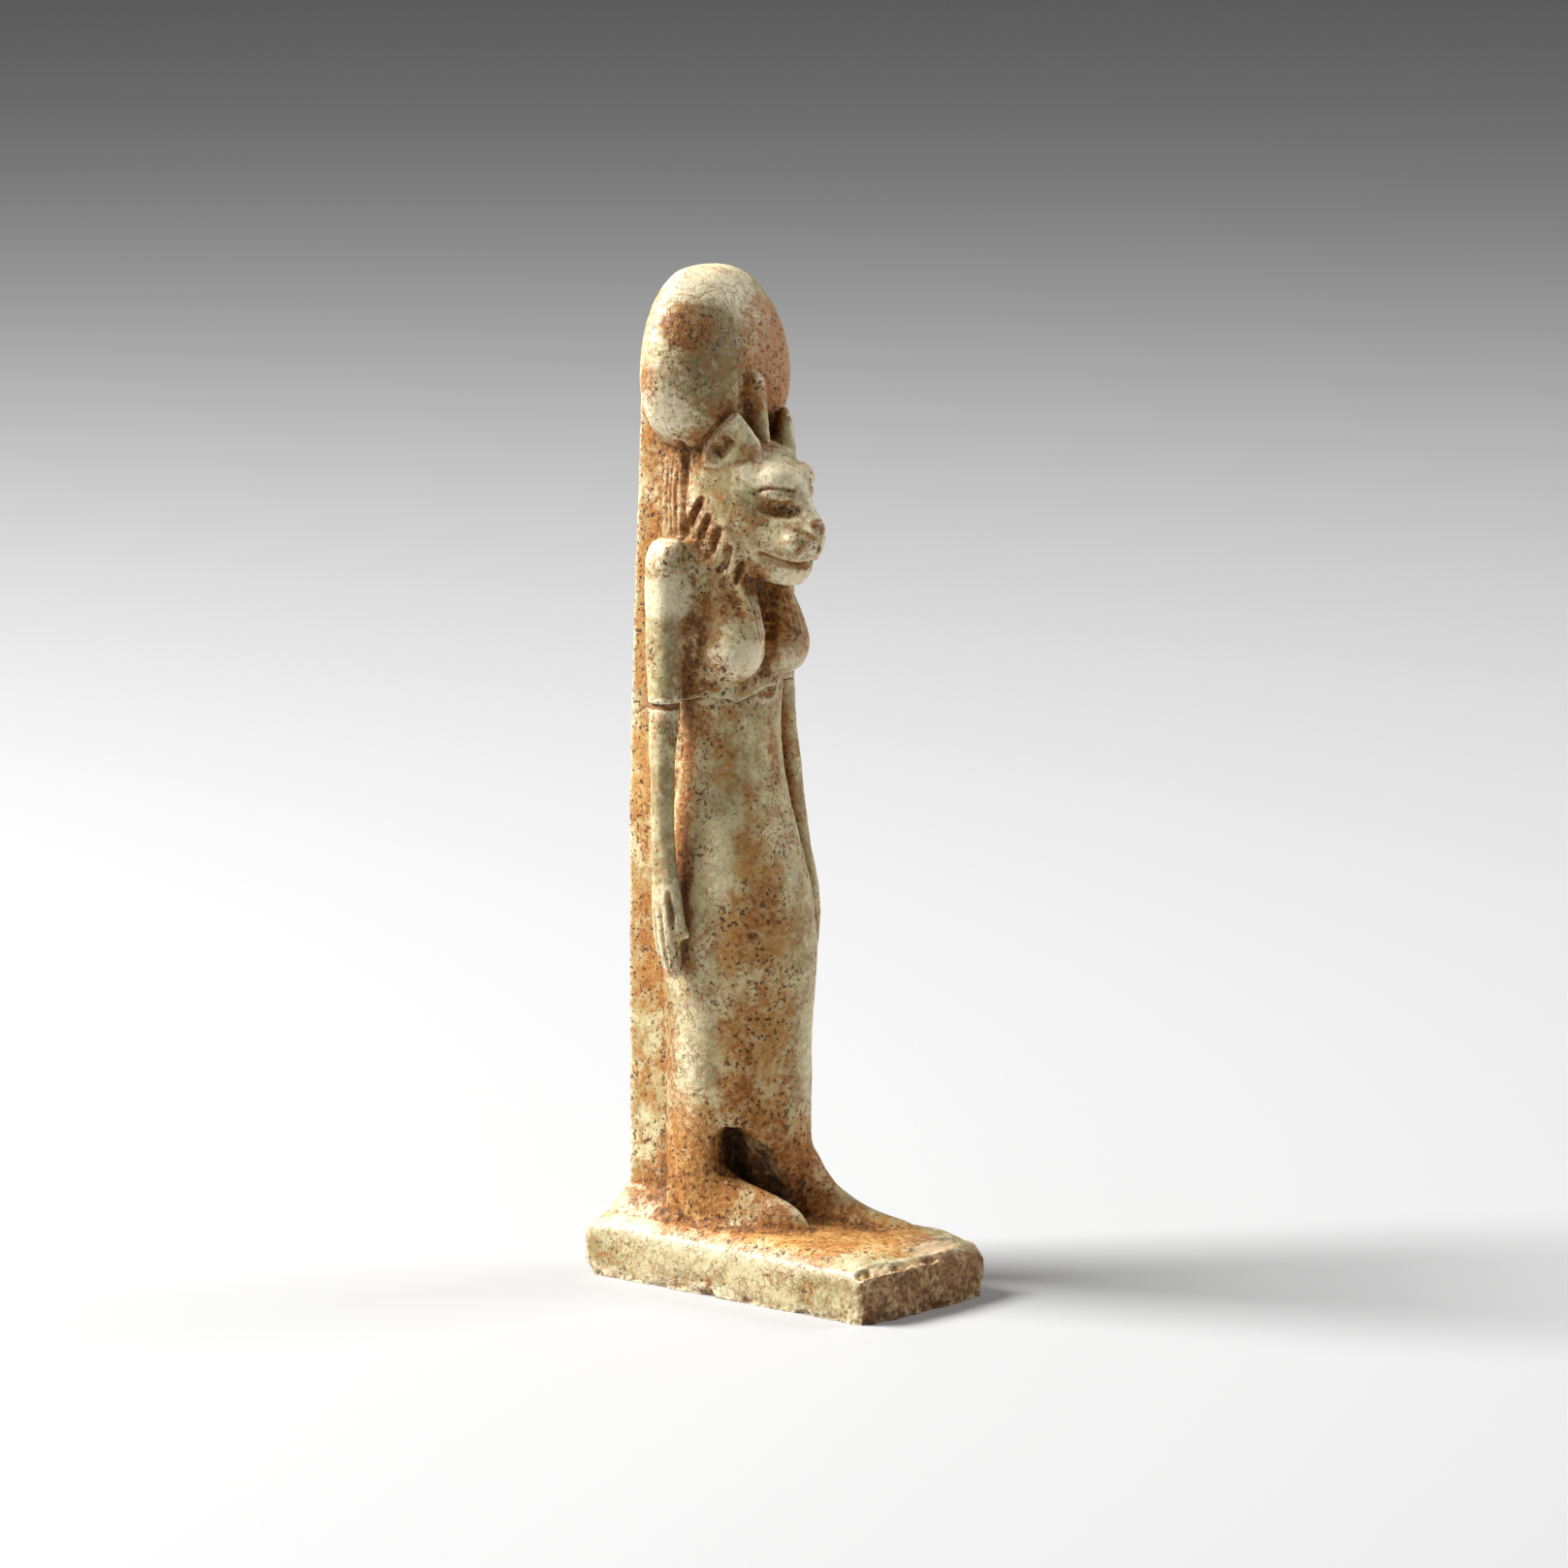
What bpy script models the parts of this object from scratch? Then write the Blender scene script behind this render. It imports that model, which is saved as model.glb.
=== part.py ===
"""Standing lioness-headed goddess with a sun disc, back pillar and plinth, moulded as one solid.

Metres, +Z up. The origin is the centre of the plinth's underside. She faces -Y and her left is +X.
Run with: blender --background --python part.py
"""

import math

import bmesh
import bpy
import numpy as np
from mathutils import Matrix, Vector
from mathutils.bvhtree import BVHTree

# Driving sizes, in metres
PLINTH_LENGTH = 0.0355
PLINTH_WIDTH = 0.0175
PLINTH_THICKNESS = 0.0047
PLINTH_CROWN = 0.0013
PLINTH_FRONT_BULGE = 0.0005
PLINTH_SIDE_SWELL_WIDTH = 0.0024
PLINTH_FRONT_SWELL_LENGTH = 0.0050
PLINTH_BACK_SWELL_LENGTH = 0.0030
BACK_MARGIN = 0.0026
FIGURE_HEIGHT = 0.0913
PILLAR_WIDTH = 0.0104
PILLAR_BACK_REACH = 0.0155

# The figure's own measures below are written in units of which its height is this many
DRAWN_UNITS = 91.3
MM = FIGURE_HEIGHT / DRAWN_UNITS

# How finely the clay is melted together, and how many triangles the solid keeps
VOXEL = 0.2 * MM
SOFTEN_STEPS = 5
GROOVE_STEP = 0.08
TRIANGLES = 9700

# What the plinth is drawn too thick by, in the same units, before its underside is sawn level
SAWN_OFF = 2.0

# Glazed composition, pale green under brown earth
GLAZE_COLOUR = (0.52, 0.45, 0.30, 1.0)
GLAZE_ROUGHNESS = 0.55

STAND_Y = PLINTH_LENGTH / 2 - BACK_MARGIN - PILLAR_BACK_REACH
RIGHT, LEFT = -1, 1


def clear_scene():
    for obj in list(bpy.data.objects):
        bpy.data.objects.remove(obj, do_unlink=True)


def spline(rows, per_span):
    """Catmull-Rom curve through rows of numbers, each row being one station."""
    rows = np.asarray(rows, float)
    padded = np.vstack([2 * rows[0] - rows[1], rows, 2 * rows[-1] - rows[-2]])
    made = []
    for i in range(1, len(padded) - 2):
        a, b, c, d = padded[i - 1 : i + 3]
        for t in np.arange(per_span) / per_span:
            made.append(
                0.5
                * (2 * b + (c - a) * t + (2 * a - 5 * b + 4 * c - d) * t**2 + (3 * b - a - 3 * c + d) * t**3)
            )
    made.append(rows[-1])
    return np.array(made)


def ring(half_width, front, back, power, sides):
    """A flattened round section: x across, y along the depth, front towards -y."""
    turn = np.arange(sides) * 2 * math.pi / sides
    cos, sin = np.cos(turn), np.sin(turn)
    x = half_width * np.sign(cos) * np.abs(cos) ** (2 / power)
    depth = np.where(sin < 0, front, back)
    y = depth * np.sign(sin) * np.abs(sin) ** (2 / power)
    return x, y


def skin(rings):
    """A closed mesh over rings of points, capped at both ends."""
    clay = bmesh.new()
    layers = [[clay.verts.new(p) for p in points] for points in rings]
    for lower, upper in zip(layers, layers[1:]):
        count = len(lower)
        for i in range(count):
            j = (i + 1) % count
            clay.faces.new((lower[i], lower[j], upper[j], upper[i]))
    clay.faces.new(reversed(layers[0]))
    clay.faces.new(layers[-1])
    bmesh.ops.recalc_face_normals(clay, faces=clay.faces)
    return clay


def column(rows, sides=40, per_span=5, power=2.0, shape=None):
    """A lump stacked from sections (z, x, y, half width, front depth, back depth), low to high."""
    rings = []
    for z, cx, cy, half_width, front, back in spline(rows, per_span):
        x, y = ring(max(half_width, 0.05), max(front, 0.05), max(back, 0.05), power, sides)
        if shape:
            x, y = shape(z, x, y)
        rings.append([Vector((cx + px, cy + py, z)) for px, py in zip(x, y)])
    return skin(rings)


def ball(centre, radii, turn=0.0):
    """An egg-shaped lump, turned about z."""
    clay = bmesh.new()
    bmesh.ops.create_uvsphere(clay, u_segments=32, v_segments=20, radius=1.0)
    place = Matrix.Translation(centre) @ Matrix.Rotation(turn, 4, "Z") @ Matrix.Diagonal((*radii, 1.0))
    bmesh.ops.transform(clay, matrix=place, verts=clay.verts)
    return clay


def mirrored(clay):
    """The same lump on her other side."""
    other = clay.copy()
    bmesh.ops.transform(other, matrix=Matrix.Diagonal((-1, 1, 1, 1)), verts=other.verts)
    bmesh.ops.reverse_faces(other, faces=other.faces)
    return other


def moved(clay, matrix):
    bmesh.ops.transform(clay, matrix=matrix, verts=clay.verts)
    return clay


def at_height(z, values):
    """Reads a value that changes with height from a short list of (z, value)."""
    heights, amounts = zip(*values)
    return float(np.interp(z, heights, amounts))


def pillar():
    """The back pillar: flat, a little narrower and thinner towards the sun disc, spread at its foot."""
    half = PILLAR_WIDTH / MM / 2
    back = PILLAR_BACK_REACH / MM
    front = 8.0
    rows = [
        (-1.5, half + 2.4, back + 2.2),
        (1.0, half + 2.0, back + 1.9),
        (2.3, half + 1.0, back + 1.1),
        (3.8, half + 0.3, back + 0.35),
        (6.0, half, back),
        (36.0, half, back),
        (60.0, 0.96 * half, back - 0.6),
        (82.4, 0.92 * half, back - 1.5),
    ]
    rings = []
    for z, half_width, depth in spline(rows, 5):
        corners = [(-half_width, front), (half_width, front), (half_width, depth), (-half_width, depth)]
        rings.append([Vector((x, y, z)) for x, y in corners])
    return skin(rings)


STRIDE = [(0, 1.5), (9, 1.5), (20, 1.25), (32, 0.6), (43, 0.0)]


def strided(z, x, y):
    """Carries the left half of the skirt forward and the right half back."""
    frontness = np.clip(-y / 4.0, 0, 1)
    return x, y - at_height(z, STRIDE) * x / 6.5 * frontness


HOLLOW_DEPTH = [(2.2, 0.6), (3.2, 2.4), (4.6, 4.2), (6.5, 5.0), (9.0, 5.0), (10.2, 4.0), (10.9, 0.0)]
HOLLOW_BEARING = [(3.5, 32), (4.6, 36), (6.0, 42), (8.0, 46), (10.6, 52)]
HOLLOW_OUTER = [(3.5, 22), (5.0, 25), (8.0, 23), (9.6, 19), (10.6, 8)]
HOLLOW_INNER = [(3.5, 36), (5.0, 42), (7.5, 44), (9.4, 36), (10.6, 14)]


def hollowed(z, x, y):
    """The deep blind hollow between the standing leg and the advanced one, under the hem."""
    x, y = strided(z, x, y)
    bearing = np.degrees(np.arctan2(-x, -y))
    off = bearing - at_height(z, HOLLOW_BEARING)
    off = np.where(off > 0, off / at_height(z, HOLLOW_OUTER), off / at_height(z, HOLLOW_INNER))
    steep = np.where(off > 0, off**4, np.abs(off) ** 2.4)
    sink = at_height(z, HOLLOW_DEPTH) * np.clip(1 - steep, 0, 1) ** 1.3
    keep = 1 - sink / np.hypot(x, y)
    return x * keep, y * keep


def body():
    """Trunk and sheath dress, from the hem to the neck."""
    rows = [
        (10.7, 0, 7.0, 6.35, 6.8, 6.2),
        (13.5, 0, 7.0, 6.4, 6.9, 6.2),
        (19, 0, 7.0, 6.5, 7.0, 6.2),
        (22.5, 0, 7.0, 6.7, 7.3, 6.2),
        (25.5, 0, 7.0, 6.9, 7.75, 6.0),
        (29.5, 0, 7.0, 7.0, 7.6, 6.0),
        (33, 0, 7.0, 6.9, 7.1, 5.8),
        (38, 0, 7.0, 6.4, 5.5, 5.4),
        (43.5, 0, 7.0, 5.7, 4.1, 5.0),
        (48, 0, 7.0, 5.5, 3.6, 5.0),
        (52.5, 0, 7.2, 6.1, 3.8, 4.6),
        (57, 0, 7.4, 6.7, 4.2, 4.4),
        (61, 0, 7.6, 6.8, 4.2, 4.2),
        (64.0, 0, 8.0, 6.2, 4.4, 4.0),
        (66.0, 0, 8.0, 5.0, 4.0, 3.8),
    ]
    return column(rows, sides=56, power=2.1, shape=strided)


def legs():
    """Both legs as one mass below the hem, hollowed on her right."""
    heights = (-0.9, 2.0, 2.8, 4.0, 5.5, 7.0, 8.5, 9.6, 10.4, 10.9, 12.5)
    rows = [(z, 0, 7.0, 6.33, 6.76, 6.2) for z in heights]
    return column(rows, sides=120, per_span=4, power=2.1, shape=hollowed)


def breast(side):
    rows = [
        (52.9, side * 3.3, 4.6, 1.6, 1.4, 3.0),
        (53.8, side * 3.25, 4.3, 2.5, 2.5, 3.0),
        (55.6, side * 3.2, 4.1, 3.1, 3.05, 3.0),
        (57.6, side * 3.1, 4.2, 3.0, 2.7, 3.0),
        (59.8, side * 3.1, 4.7, 2.7, 2.1, 3.0),
        (62.0, side * 3.1, 5.4, 2.3, 1.4, 3.0),
    ]
    return column(rows, sides=32)


LEFT_ARM_LEAD = [(24, 2.6), (29, 2.7), (34, 2.0), (41, 1.8), (48, 0.5), (54, 0.0)]


def lead(side, z):
    """How far the left arm swings forward of the right one."""
    return at_height(z, LEFT_ARM_LEAD) if side == LEFT else 0.0


def arm(side):
    """Upper arm, forearm and the flat open hand against the thigh."""
    rows = [
        (24.9, 8.0, 7.0, 0.35, 0.5, 0.5),
        (25.8, 8.15, 7.2, 0.8, 0.9, 0.9),
        (28.0, 8.35, 7.6, 1.0, 1.3, 1.3),
        (30.5, 8.5, 7.7, 1.05, 1.6, 1.5),
        (33.3, 8.5, 7.8, 1.05, 1.6, 1.5),
        (36.0, 8.4, 8.1, 1.0, 1.3, 1.2),
        (39.6, 8.3, 8.35, 1.05, 1.0, 1.05),
        (43.3, 8.25, 8.4, 1.1, 1.05, 1.1),
        (47.3, 8.15, 8.4, 1.25, 1.2, 1.3),
        (51.5, 7.85, 8.35, 1.5, 1.5, 1.6),
        (56.0, 7.6, 8.4, 1.75, 1.7, 1.9),
        (61.0, 7.6, 8.45, 1.85, 1.85, 2.0),
        (64.0, 7.6, 8.5, 1.8, 1.85, 1.9),
        (65.7, 7.45, 8.5, 1.35, 1.6, 1.6),
        (66.3, 7.2, 8.5, 0.7, 1.0, 1.0),
    ]
    rows = [(z, side * x, y - lead(side, z), a, front, back) for z, x, y, a, front, back in rows]
    return column(rows, sides=32, per_span=4, power=2.3)


def deltoid(side):
    """Softens the step from the chest to the upper arm."""
    return ball((side * 6.4, 7.75, 60.2), (1.9, 1.65, 5.4))


def thumb(side):
    rows = [
        (28.6, side * 7.8, 5.5, 0.35, 0.35, 0.5),
        (29.2, side * 7.95, 5.7, 0.6, 0.6, 0.8),
        (30.2, side * 8.1, 6.2, 0.65, 0.6, 0.7),
        (31.8, side * 8.3, 6.5, 0.65, 0.6, 0.6),
        (34.5, side * 8.4, 6.9, 0.6, 0.5, 0.6),
    ]
    rows = [(z, x, y - lead(side, max(z, 33.0)), a, front, back) for z, x, y, a, front, back in rows]
    return column(rows, sides=20, per_span=4)


def shoulder_yoke():
    """The slope from the neck out to both shoulders."""
    rows = [
        (57, 0, 8.4, 7.0, 3.0, 3.0),
        (61, 0, 8.5, 7.9, 3.2, 3.0),
        (64.2, 0, 8.5, 8.1, 2.9, 2.8),
        (65.8, 0, 8.5, 7.6, 2.1, 2.2),
        (66.2, 0, 8.5, 7.0, 1.4, 1.6),
    ]
    return column(rows, power=2.6)


def foot(stations, sides=28, per_span=5):
    """A wedge-shaped foot from stations (y, x, half width, instep height), heel first."""
    rings = []
    floor = -0.9
    for y, x, half_width, height in spline(stations, per_span):
        turn = np.arange(sides) * 2 * math.pi / sides
        cos, sin = np.cos(turn), np.sin(turn)
        across = half_width * np.sign(cos) * np.abs(cos) ** 0.75
        up = np.where(sin > 0, (height - floor) * np.abs(sin) ** 0.85, 0) + floor
        rings.append([Vector((x + a, y, z)) for a, z in zip(across, up)])
    return skin(rings)


def right_foot():
    """Set flat under the standing leg, its great toe foremost."""
    stations = [
        (10.0, -4.3, 2.0, 8.6),
        (7.2, -4.3, 2.05, 8.5),
        (5.6, -4.2, 2.1, 7.3),
        (4.0, -3.8, 2.15, 6.1),
        (2.0, -3.15, 2.2, 5.1),
        (0.0, -2.65, 2.05, 4.5),
        (-1.6, -2.25, 1.65, 3.9),
        (-2.9, -1.85, 1.2, 3.1),
        (-3.8, -1.55, 0.6, 2.0),
    ]
    return foot(stations)


def left_foot():
    """The advanced foot: a long wedge that runs down from the shin, turned a little out."""
    stations = [
        (5.0, 3.7, 2.3, 9.5),
        (2.0, 3.7, 2.4, 9.3),
        (0.2, 3.75, 2.45, 7.4),
        (-1.4, 3.85, 2.4, 5.2),
        (-3.2, 4.2, 2.3, 3.9),
        (-5.2, 4.6, 2.15, 3.0),
        (-7.4, 5.1, 1.95, 2.35),
        (-9.4, 5.55, 1.65, 1.9),
        (-10.8, 5.85, 1.15, 1.5),
        (-11.5, 6.0, 0.5, 1.1),
    ]
    return foot(stations)


def sun_disc():
    """Round from the front, and a wedge from the side: thick over the wig and thin at the top."""
    rows = [
        (73.2, 0, 9.05, 1.5, 1.5, 1.5),
        (73.9, 0, 9.05, 3.8, 3.2, 3.2),
        (75.2, 0, 9.05, 5.9, 4.5, 4.4),
        (77.0, 0, 9.05, 7.6, 4.95, 4.9),
        (79.4, 0, 9.05, 8.8, 5.05, 4.95),
        (82.0, 0, 9.1, 9.0, 4.95, 4.85),
        (84.6, 0, 9.25, 8.5, 4.6, 4.6),
        (86.8, 0, 9.45, 7.6, 4.15, 4.2),
        (88.6, 0, 9.6, 6.4, 3.6, 3.6),
        (90.0, 0, 9.75, 5.0, 2.8, 2.8),
        (90.9, 0, 9.85, 3.3, 1.8, 1.9),
        (91.3, 0, 9.9, 1.3, 0.8, 0.9),
    ]
    return column(rows, sides=56, per_span=4)


def uraeus():
    """The rearing cobra on the disc: a rounded hood over a narrow neck."""
    rows = [
        (73.9, 0, 3.2, 0.7, 1.1, 2.5),
        (76.0, 0, 3.4, 0.7, 0.9, 2.5),
        (77.6, 0, 3.7, 0.9, 0.85, 2.5),
        (79.2, 0, 4.0, 1.15, 0.95, 2.5),
        (80.4, 0, 4.2, 1.2, 1.0, 2.5),
        (81.2, 0, 4.4, 1.05, 0.9, 2.2),
        (81.7, 0, 4.6, 0.6, 0.5, 1.5),
    ]
    return column(rows, sides=24, per_span=5)


# Half of each head section: height, then x and y at the nose line, its edge, the face, the cheek, the back
HEAD_SECTIONS = [
    (62.0, -1.3, 0.6, -1.1, 1.0, -0.7, 1.1, -0.2, 0.8, 0.4),
    (62.6, -1.9, 0.8, -1.6, 1.5, -0.4, 1.8, 0.6, 1.7, 1.4),
    (63.4, -2.5, 0.9, -2.2, 1.9, -0.5, 2.5, 1.1, 2.6, 2.3),
    (64.2, -2.75, 1.0, -2.5, 2.3, -0.5, 3.2, 1.6, 3.6, 3.4),
    (65.1, -3.7, 1.2, -3.2, 2.5, -0.9, 3.8, 2.0, 4.6, 4.6),
    (66.4, -4.1, 1.2, -3.6, 2.5, -1.2, 4.3, 2.2, 5.2, 7.0),
    (67.7, -4.35, 0.95, -3.8, 2.2, -1.2, 4.5, 2.3, 5.3, 7.0),
    (69.0, -3.3, 0.8, -2.9, 2.0, -0.8, 4.5, 2.4, 5.3, 7.0),
    (70.4, -2.5, 0.8, -2.2, 2.1, -0.5, 4.5, 2.5, 5.3, 7.0),
    (71.7, -1.9, 0.9, -1.7, 2.4, -0.4, 4.5, 2.6, 5.3, 7.0),
    (73.0, -0.8, 1.0, -0.6, 2.4, 0.6, 4.3, 2.9, 5.2, 7.0),
    (74.2, 0.7, 1.0, 0.9, 2.3, 1.8, 3.8, 3.7, 4.9, 7.0),
    (75.1, 2.2, 1.0, 2.4, 2.2, 3.0, 3.4, 4.6, 4.2, 7.0),
    (75.5, 4.0, 0.8, 4.1, 1.6, 4.5, 2.4, 5.4, 3.0, 7.0),
]


def head():
    """Skull, face and jaw of the lioness, a blunt wedge in plan."""
    rings = []
    for row in spline(HEAD_SECTIONS, 3):
        z, pairs = row[0], row[1:]
        right = [(0.0, pairs[0])] + [(pairs[i], pairs[i + 1]) for i in range(1, 9, 2)]
        right += [(0.6 * pairs[7], pairs[8] + 2.0), (0.0, pairs[8] + 2.4)]
        half = spline(right, 4)
        whole = np.vstack([half, half[-2:0:-1] * (-1, 1)])
        rings.append([Vector((x, y, z)) for x, y in whole])
    return skin(rings)


def brow(side):
    return ball((side * 1.55, -0.3, 72.0), (1.95, 1.3, 1.45), turn=side * math.radians(35))


def eyeball(side):
    return ball((side * 2.25, -0.25, 70.5), (1.75, 0.7, 0.65), turn=side * math.radians(56))


def whisker_pad(side):
    return ball((side * 1.05, -1.35, 66.3), (1.5, 1.8, 1.5), turn=side * math.radians(20))


def ear(side):
    """A leaf-shaped ear, broad below, facing forwards and out."""
    rows = [
        (-1.4, 0, 0.2, 2.9, 1.0, 1.2),
        (0.4, 0, 0.1, 2.75, 0.85, 1.1),
        (1.7, 0.1, 0.0, 2.0, 0.7, 0.9),
        (2.8, 0.2, 0.0, 1.1, 0.5, 0.6),
        (3.6, 0.3, 0.0, 0.35, 0.3, 0.35),
    ]
    leaf = column(rows, sides=28, per_span=5, power=2.6)
    leaf = moved(leaf, Matrix.Translation((-3.6, 3.75, 74.5)) @ Matrix.Rotation(math.radians(-57), 4, "Z"))
    return leaf if side == RIGHT else mirrored(leaf)


def ruff():
    """The mane as a collar round the face, lower at the throat than at the back."""
    stations = [
        (2.0, 4.1, 62.8, 72.0),
        (3.0, 4.8, 62.2, 73.0),
        (4.4, 5.3, 62.6, 73.6),
        (6.0, 5.65, 63.6, 73.6),
        (7.4, 5.8, 64.8, 73.4),
        (8.3, 5.6, 65.6, 73.0),
    ]
    turn = np.arange(48) * 2 * math.pi / 48
    rings = []
    for y, half_width, low, high in spline(stations, 4):
        x = half_width * np.sign(np.cos(turn)) * np.abs(np.cos(turn)) ** 0.8
        z = (low + high) / 2 + (high - low) / 2 * np.sign(np.sin(turn)) * np.abs(np.sin(turn)) ** 0.8
        rings.append([Vector((a, y, b)) for a, b in zip(x, z)])
    return skin(rings)


def wig_back():
    """The wig's square back, between the mane and the pillar."""
    rows = [
        (61.0, 0, 9.0, 5.3, 3.0, 3.0),
        (66.0, 0, 9.0, 5.35, 3.0, 3.0),
        (71.0, 0, 9.0, 5.2, 3.0, 3.0),
        (75.5, 0, 9.0, 4.9, 3.0, 3.0),
    ]
    return column(rows, sides=40, power=5.0)


def lappet(side):
    """One front fall of the wig, from beside the chin to the top of the breast."""
    rows = [
        (56.2, side * 2.7, 1.25, 0.6, 0.3, 2.0),
        (57.0, side * 2.65, 1.3, 0.85, 0.5, 2.4),
        (58.6, side * 2.55, 1.95, 0.95, 0.7, 2.8),
        (60.6, side * 2.45, 2.9, 1.1, 0.9, 3.0),
        (62.6, side * 2.5, 3.9, 1.4, 1.1, 3.0),
        (64.5, side * 2.6, 4.8, 1.6, 1.3, 3.0),
    ]
    return column(rows, sides=28, per_span=4, power=2.8)


# Places on the plinth that wear or breakage has ground off: a point on the flat and its outward direction.
# The point is in shares of the half width, the half length and the thickness, down from the top.
PLINTH_CHIPS = [
    ((-0.983, 0.960, 0.915), (-0.3, 0.75, -0.6)),
    ((-0.983, 0.994, 0.0), (-0.6, 0.6, 0.35)),
    ((0.960, 0.972, 0.894), (0.5, 0.6, -0.6)),
    ((0.229, -0.977, 0.0), (0.1, -0.6, 0.8)),
    ((-0.949, -0.955, 0.0), (-0.6, -0.5, 0.6)),
]


def plinth():
    """The foot slab: its top swells round the feet, and its edges and corners are worn or chipped."""
    clay = bmesh.new()
    bmesh.ops.create_cube(clay, size=1.0)
    bmesh.ops.subdivide_edges(clay, edges=clay.edges, cuts=23, use_grid_fill=True)
    half_width = PLINTH_WIDTH / MM / 2
    half_length = PLINTH_LENGTH / MM / 2
    thickness = PLINTH_THICKNESS / MM
    forward = STAND_Y / MM
    crown = PLINTH_CROWN / MM
    for vert in clay.verts:
        u, v, w = 2 * vert.co
        x, y = half_width * u, half_length * v
        side_rise = min(1.0, (half_width - abs(x)) * MM / PLINTH_SIDE_SWELL_WIDTH)
        end_swell = PLINTH_FRONT_SWELL_LENGTH if y < 0 else PLINTH_BACK_SWELL_LENGTH
        end_rise = min(1.0, (half_length - abs(y)) * MM / end_swell)
        swell = crown * math.sin(side_rise * math.pi / 2) * math.sin(end_rise * math.pi / 2)
        swell += 0.2 * v + 0.25 * max(0.0, u) * (1 - v)
        z = (thickness + SAWN_OFF) * (w / 2 - 0.5) + swell * (w + 1) / 2
        if v < 0:
            y -= PLINTH_FRONT_BULGE / MM * v * u * u
        vert.co = (x, y - forward, z)
    for (across, along, down), outward in PLINTH_CHIPS:
        point = Vector((across * half_width, along * half_length - forward, -down * thickness))
        outward = Vector(outward).normalized()
        for vert in clay.verts:
            proud = (vert.co - point).dot(outward)
            if proud > 0:
                vert.co -= proud * outward
    return clay


def figure_lumps():
    lumps = [plinth(), pillar(), body(), legs(), shoulder_yoke(), right_foot(), left_foot()]
    lumps += [sun_disc(), uraeus(), head(), ruff(), wig_back()]
    for side in (RIGHT, LEFT):
        lumps += [breast(side), arm(side), deltoid(side), thumb(side), lappet(side)]
        lumps += [brow(side), eyeball(side), whisker_pad(side), ear(side)]
    standing = Matrix.Translation((0, STAND_Y, PLINTH_THICKNESS)) @ Matrix.Scale(MM, 4)
    return [moved(lump, standing) for lump in lumps]


def melted(lumps, name):
    """All lumps as one skin: a voxel remesh, then softened."""
    mesh = bpy.data.meshes.new(name)
    whole = bmesh.new()
    for lump in lumps:
        piece = bpy.data.meshes.new("lump")
        lump.to_mesh(piece)
        whole.from_mesh(piece)
        lump.free()
        bpy.data.meshes.remove(piece)
    whole.to_mesh(mesh)
    whole.free()
    clay = bpy.data.objects.new(name, mesh)
    bpy.context.scene.collection.objects.link(clay)
    remesh = clay.modifiers.new("melt", "REMESH")
    remesh.mode = "VOXEL"
    remesh.voxel_size = VOXEL
    soften = clay.modifiers.new("soften", "SMOOTH")
    soften.factor = 0.5
    soften.iterations = SOFTEN_STEPS
    graph = bpy.context.evaluated_depsgraph_get()
    baked = bpy.data.meshes.new_from_object(clay.evaluated_get(graph), depsgraph=graph)
    bpy.data.objects.remove(clay)
    return baked


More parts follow.
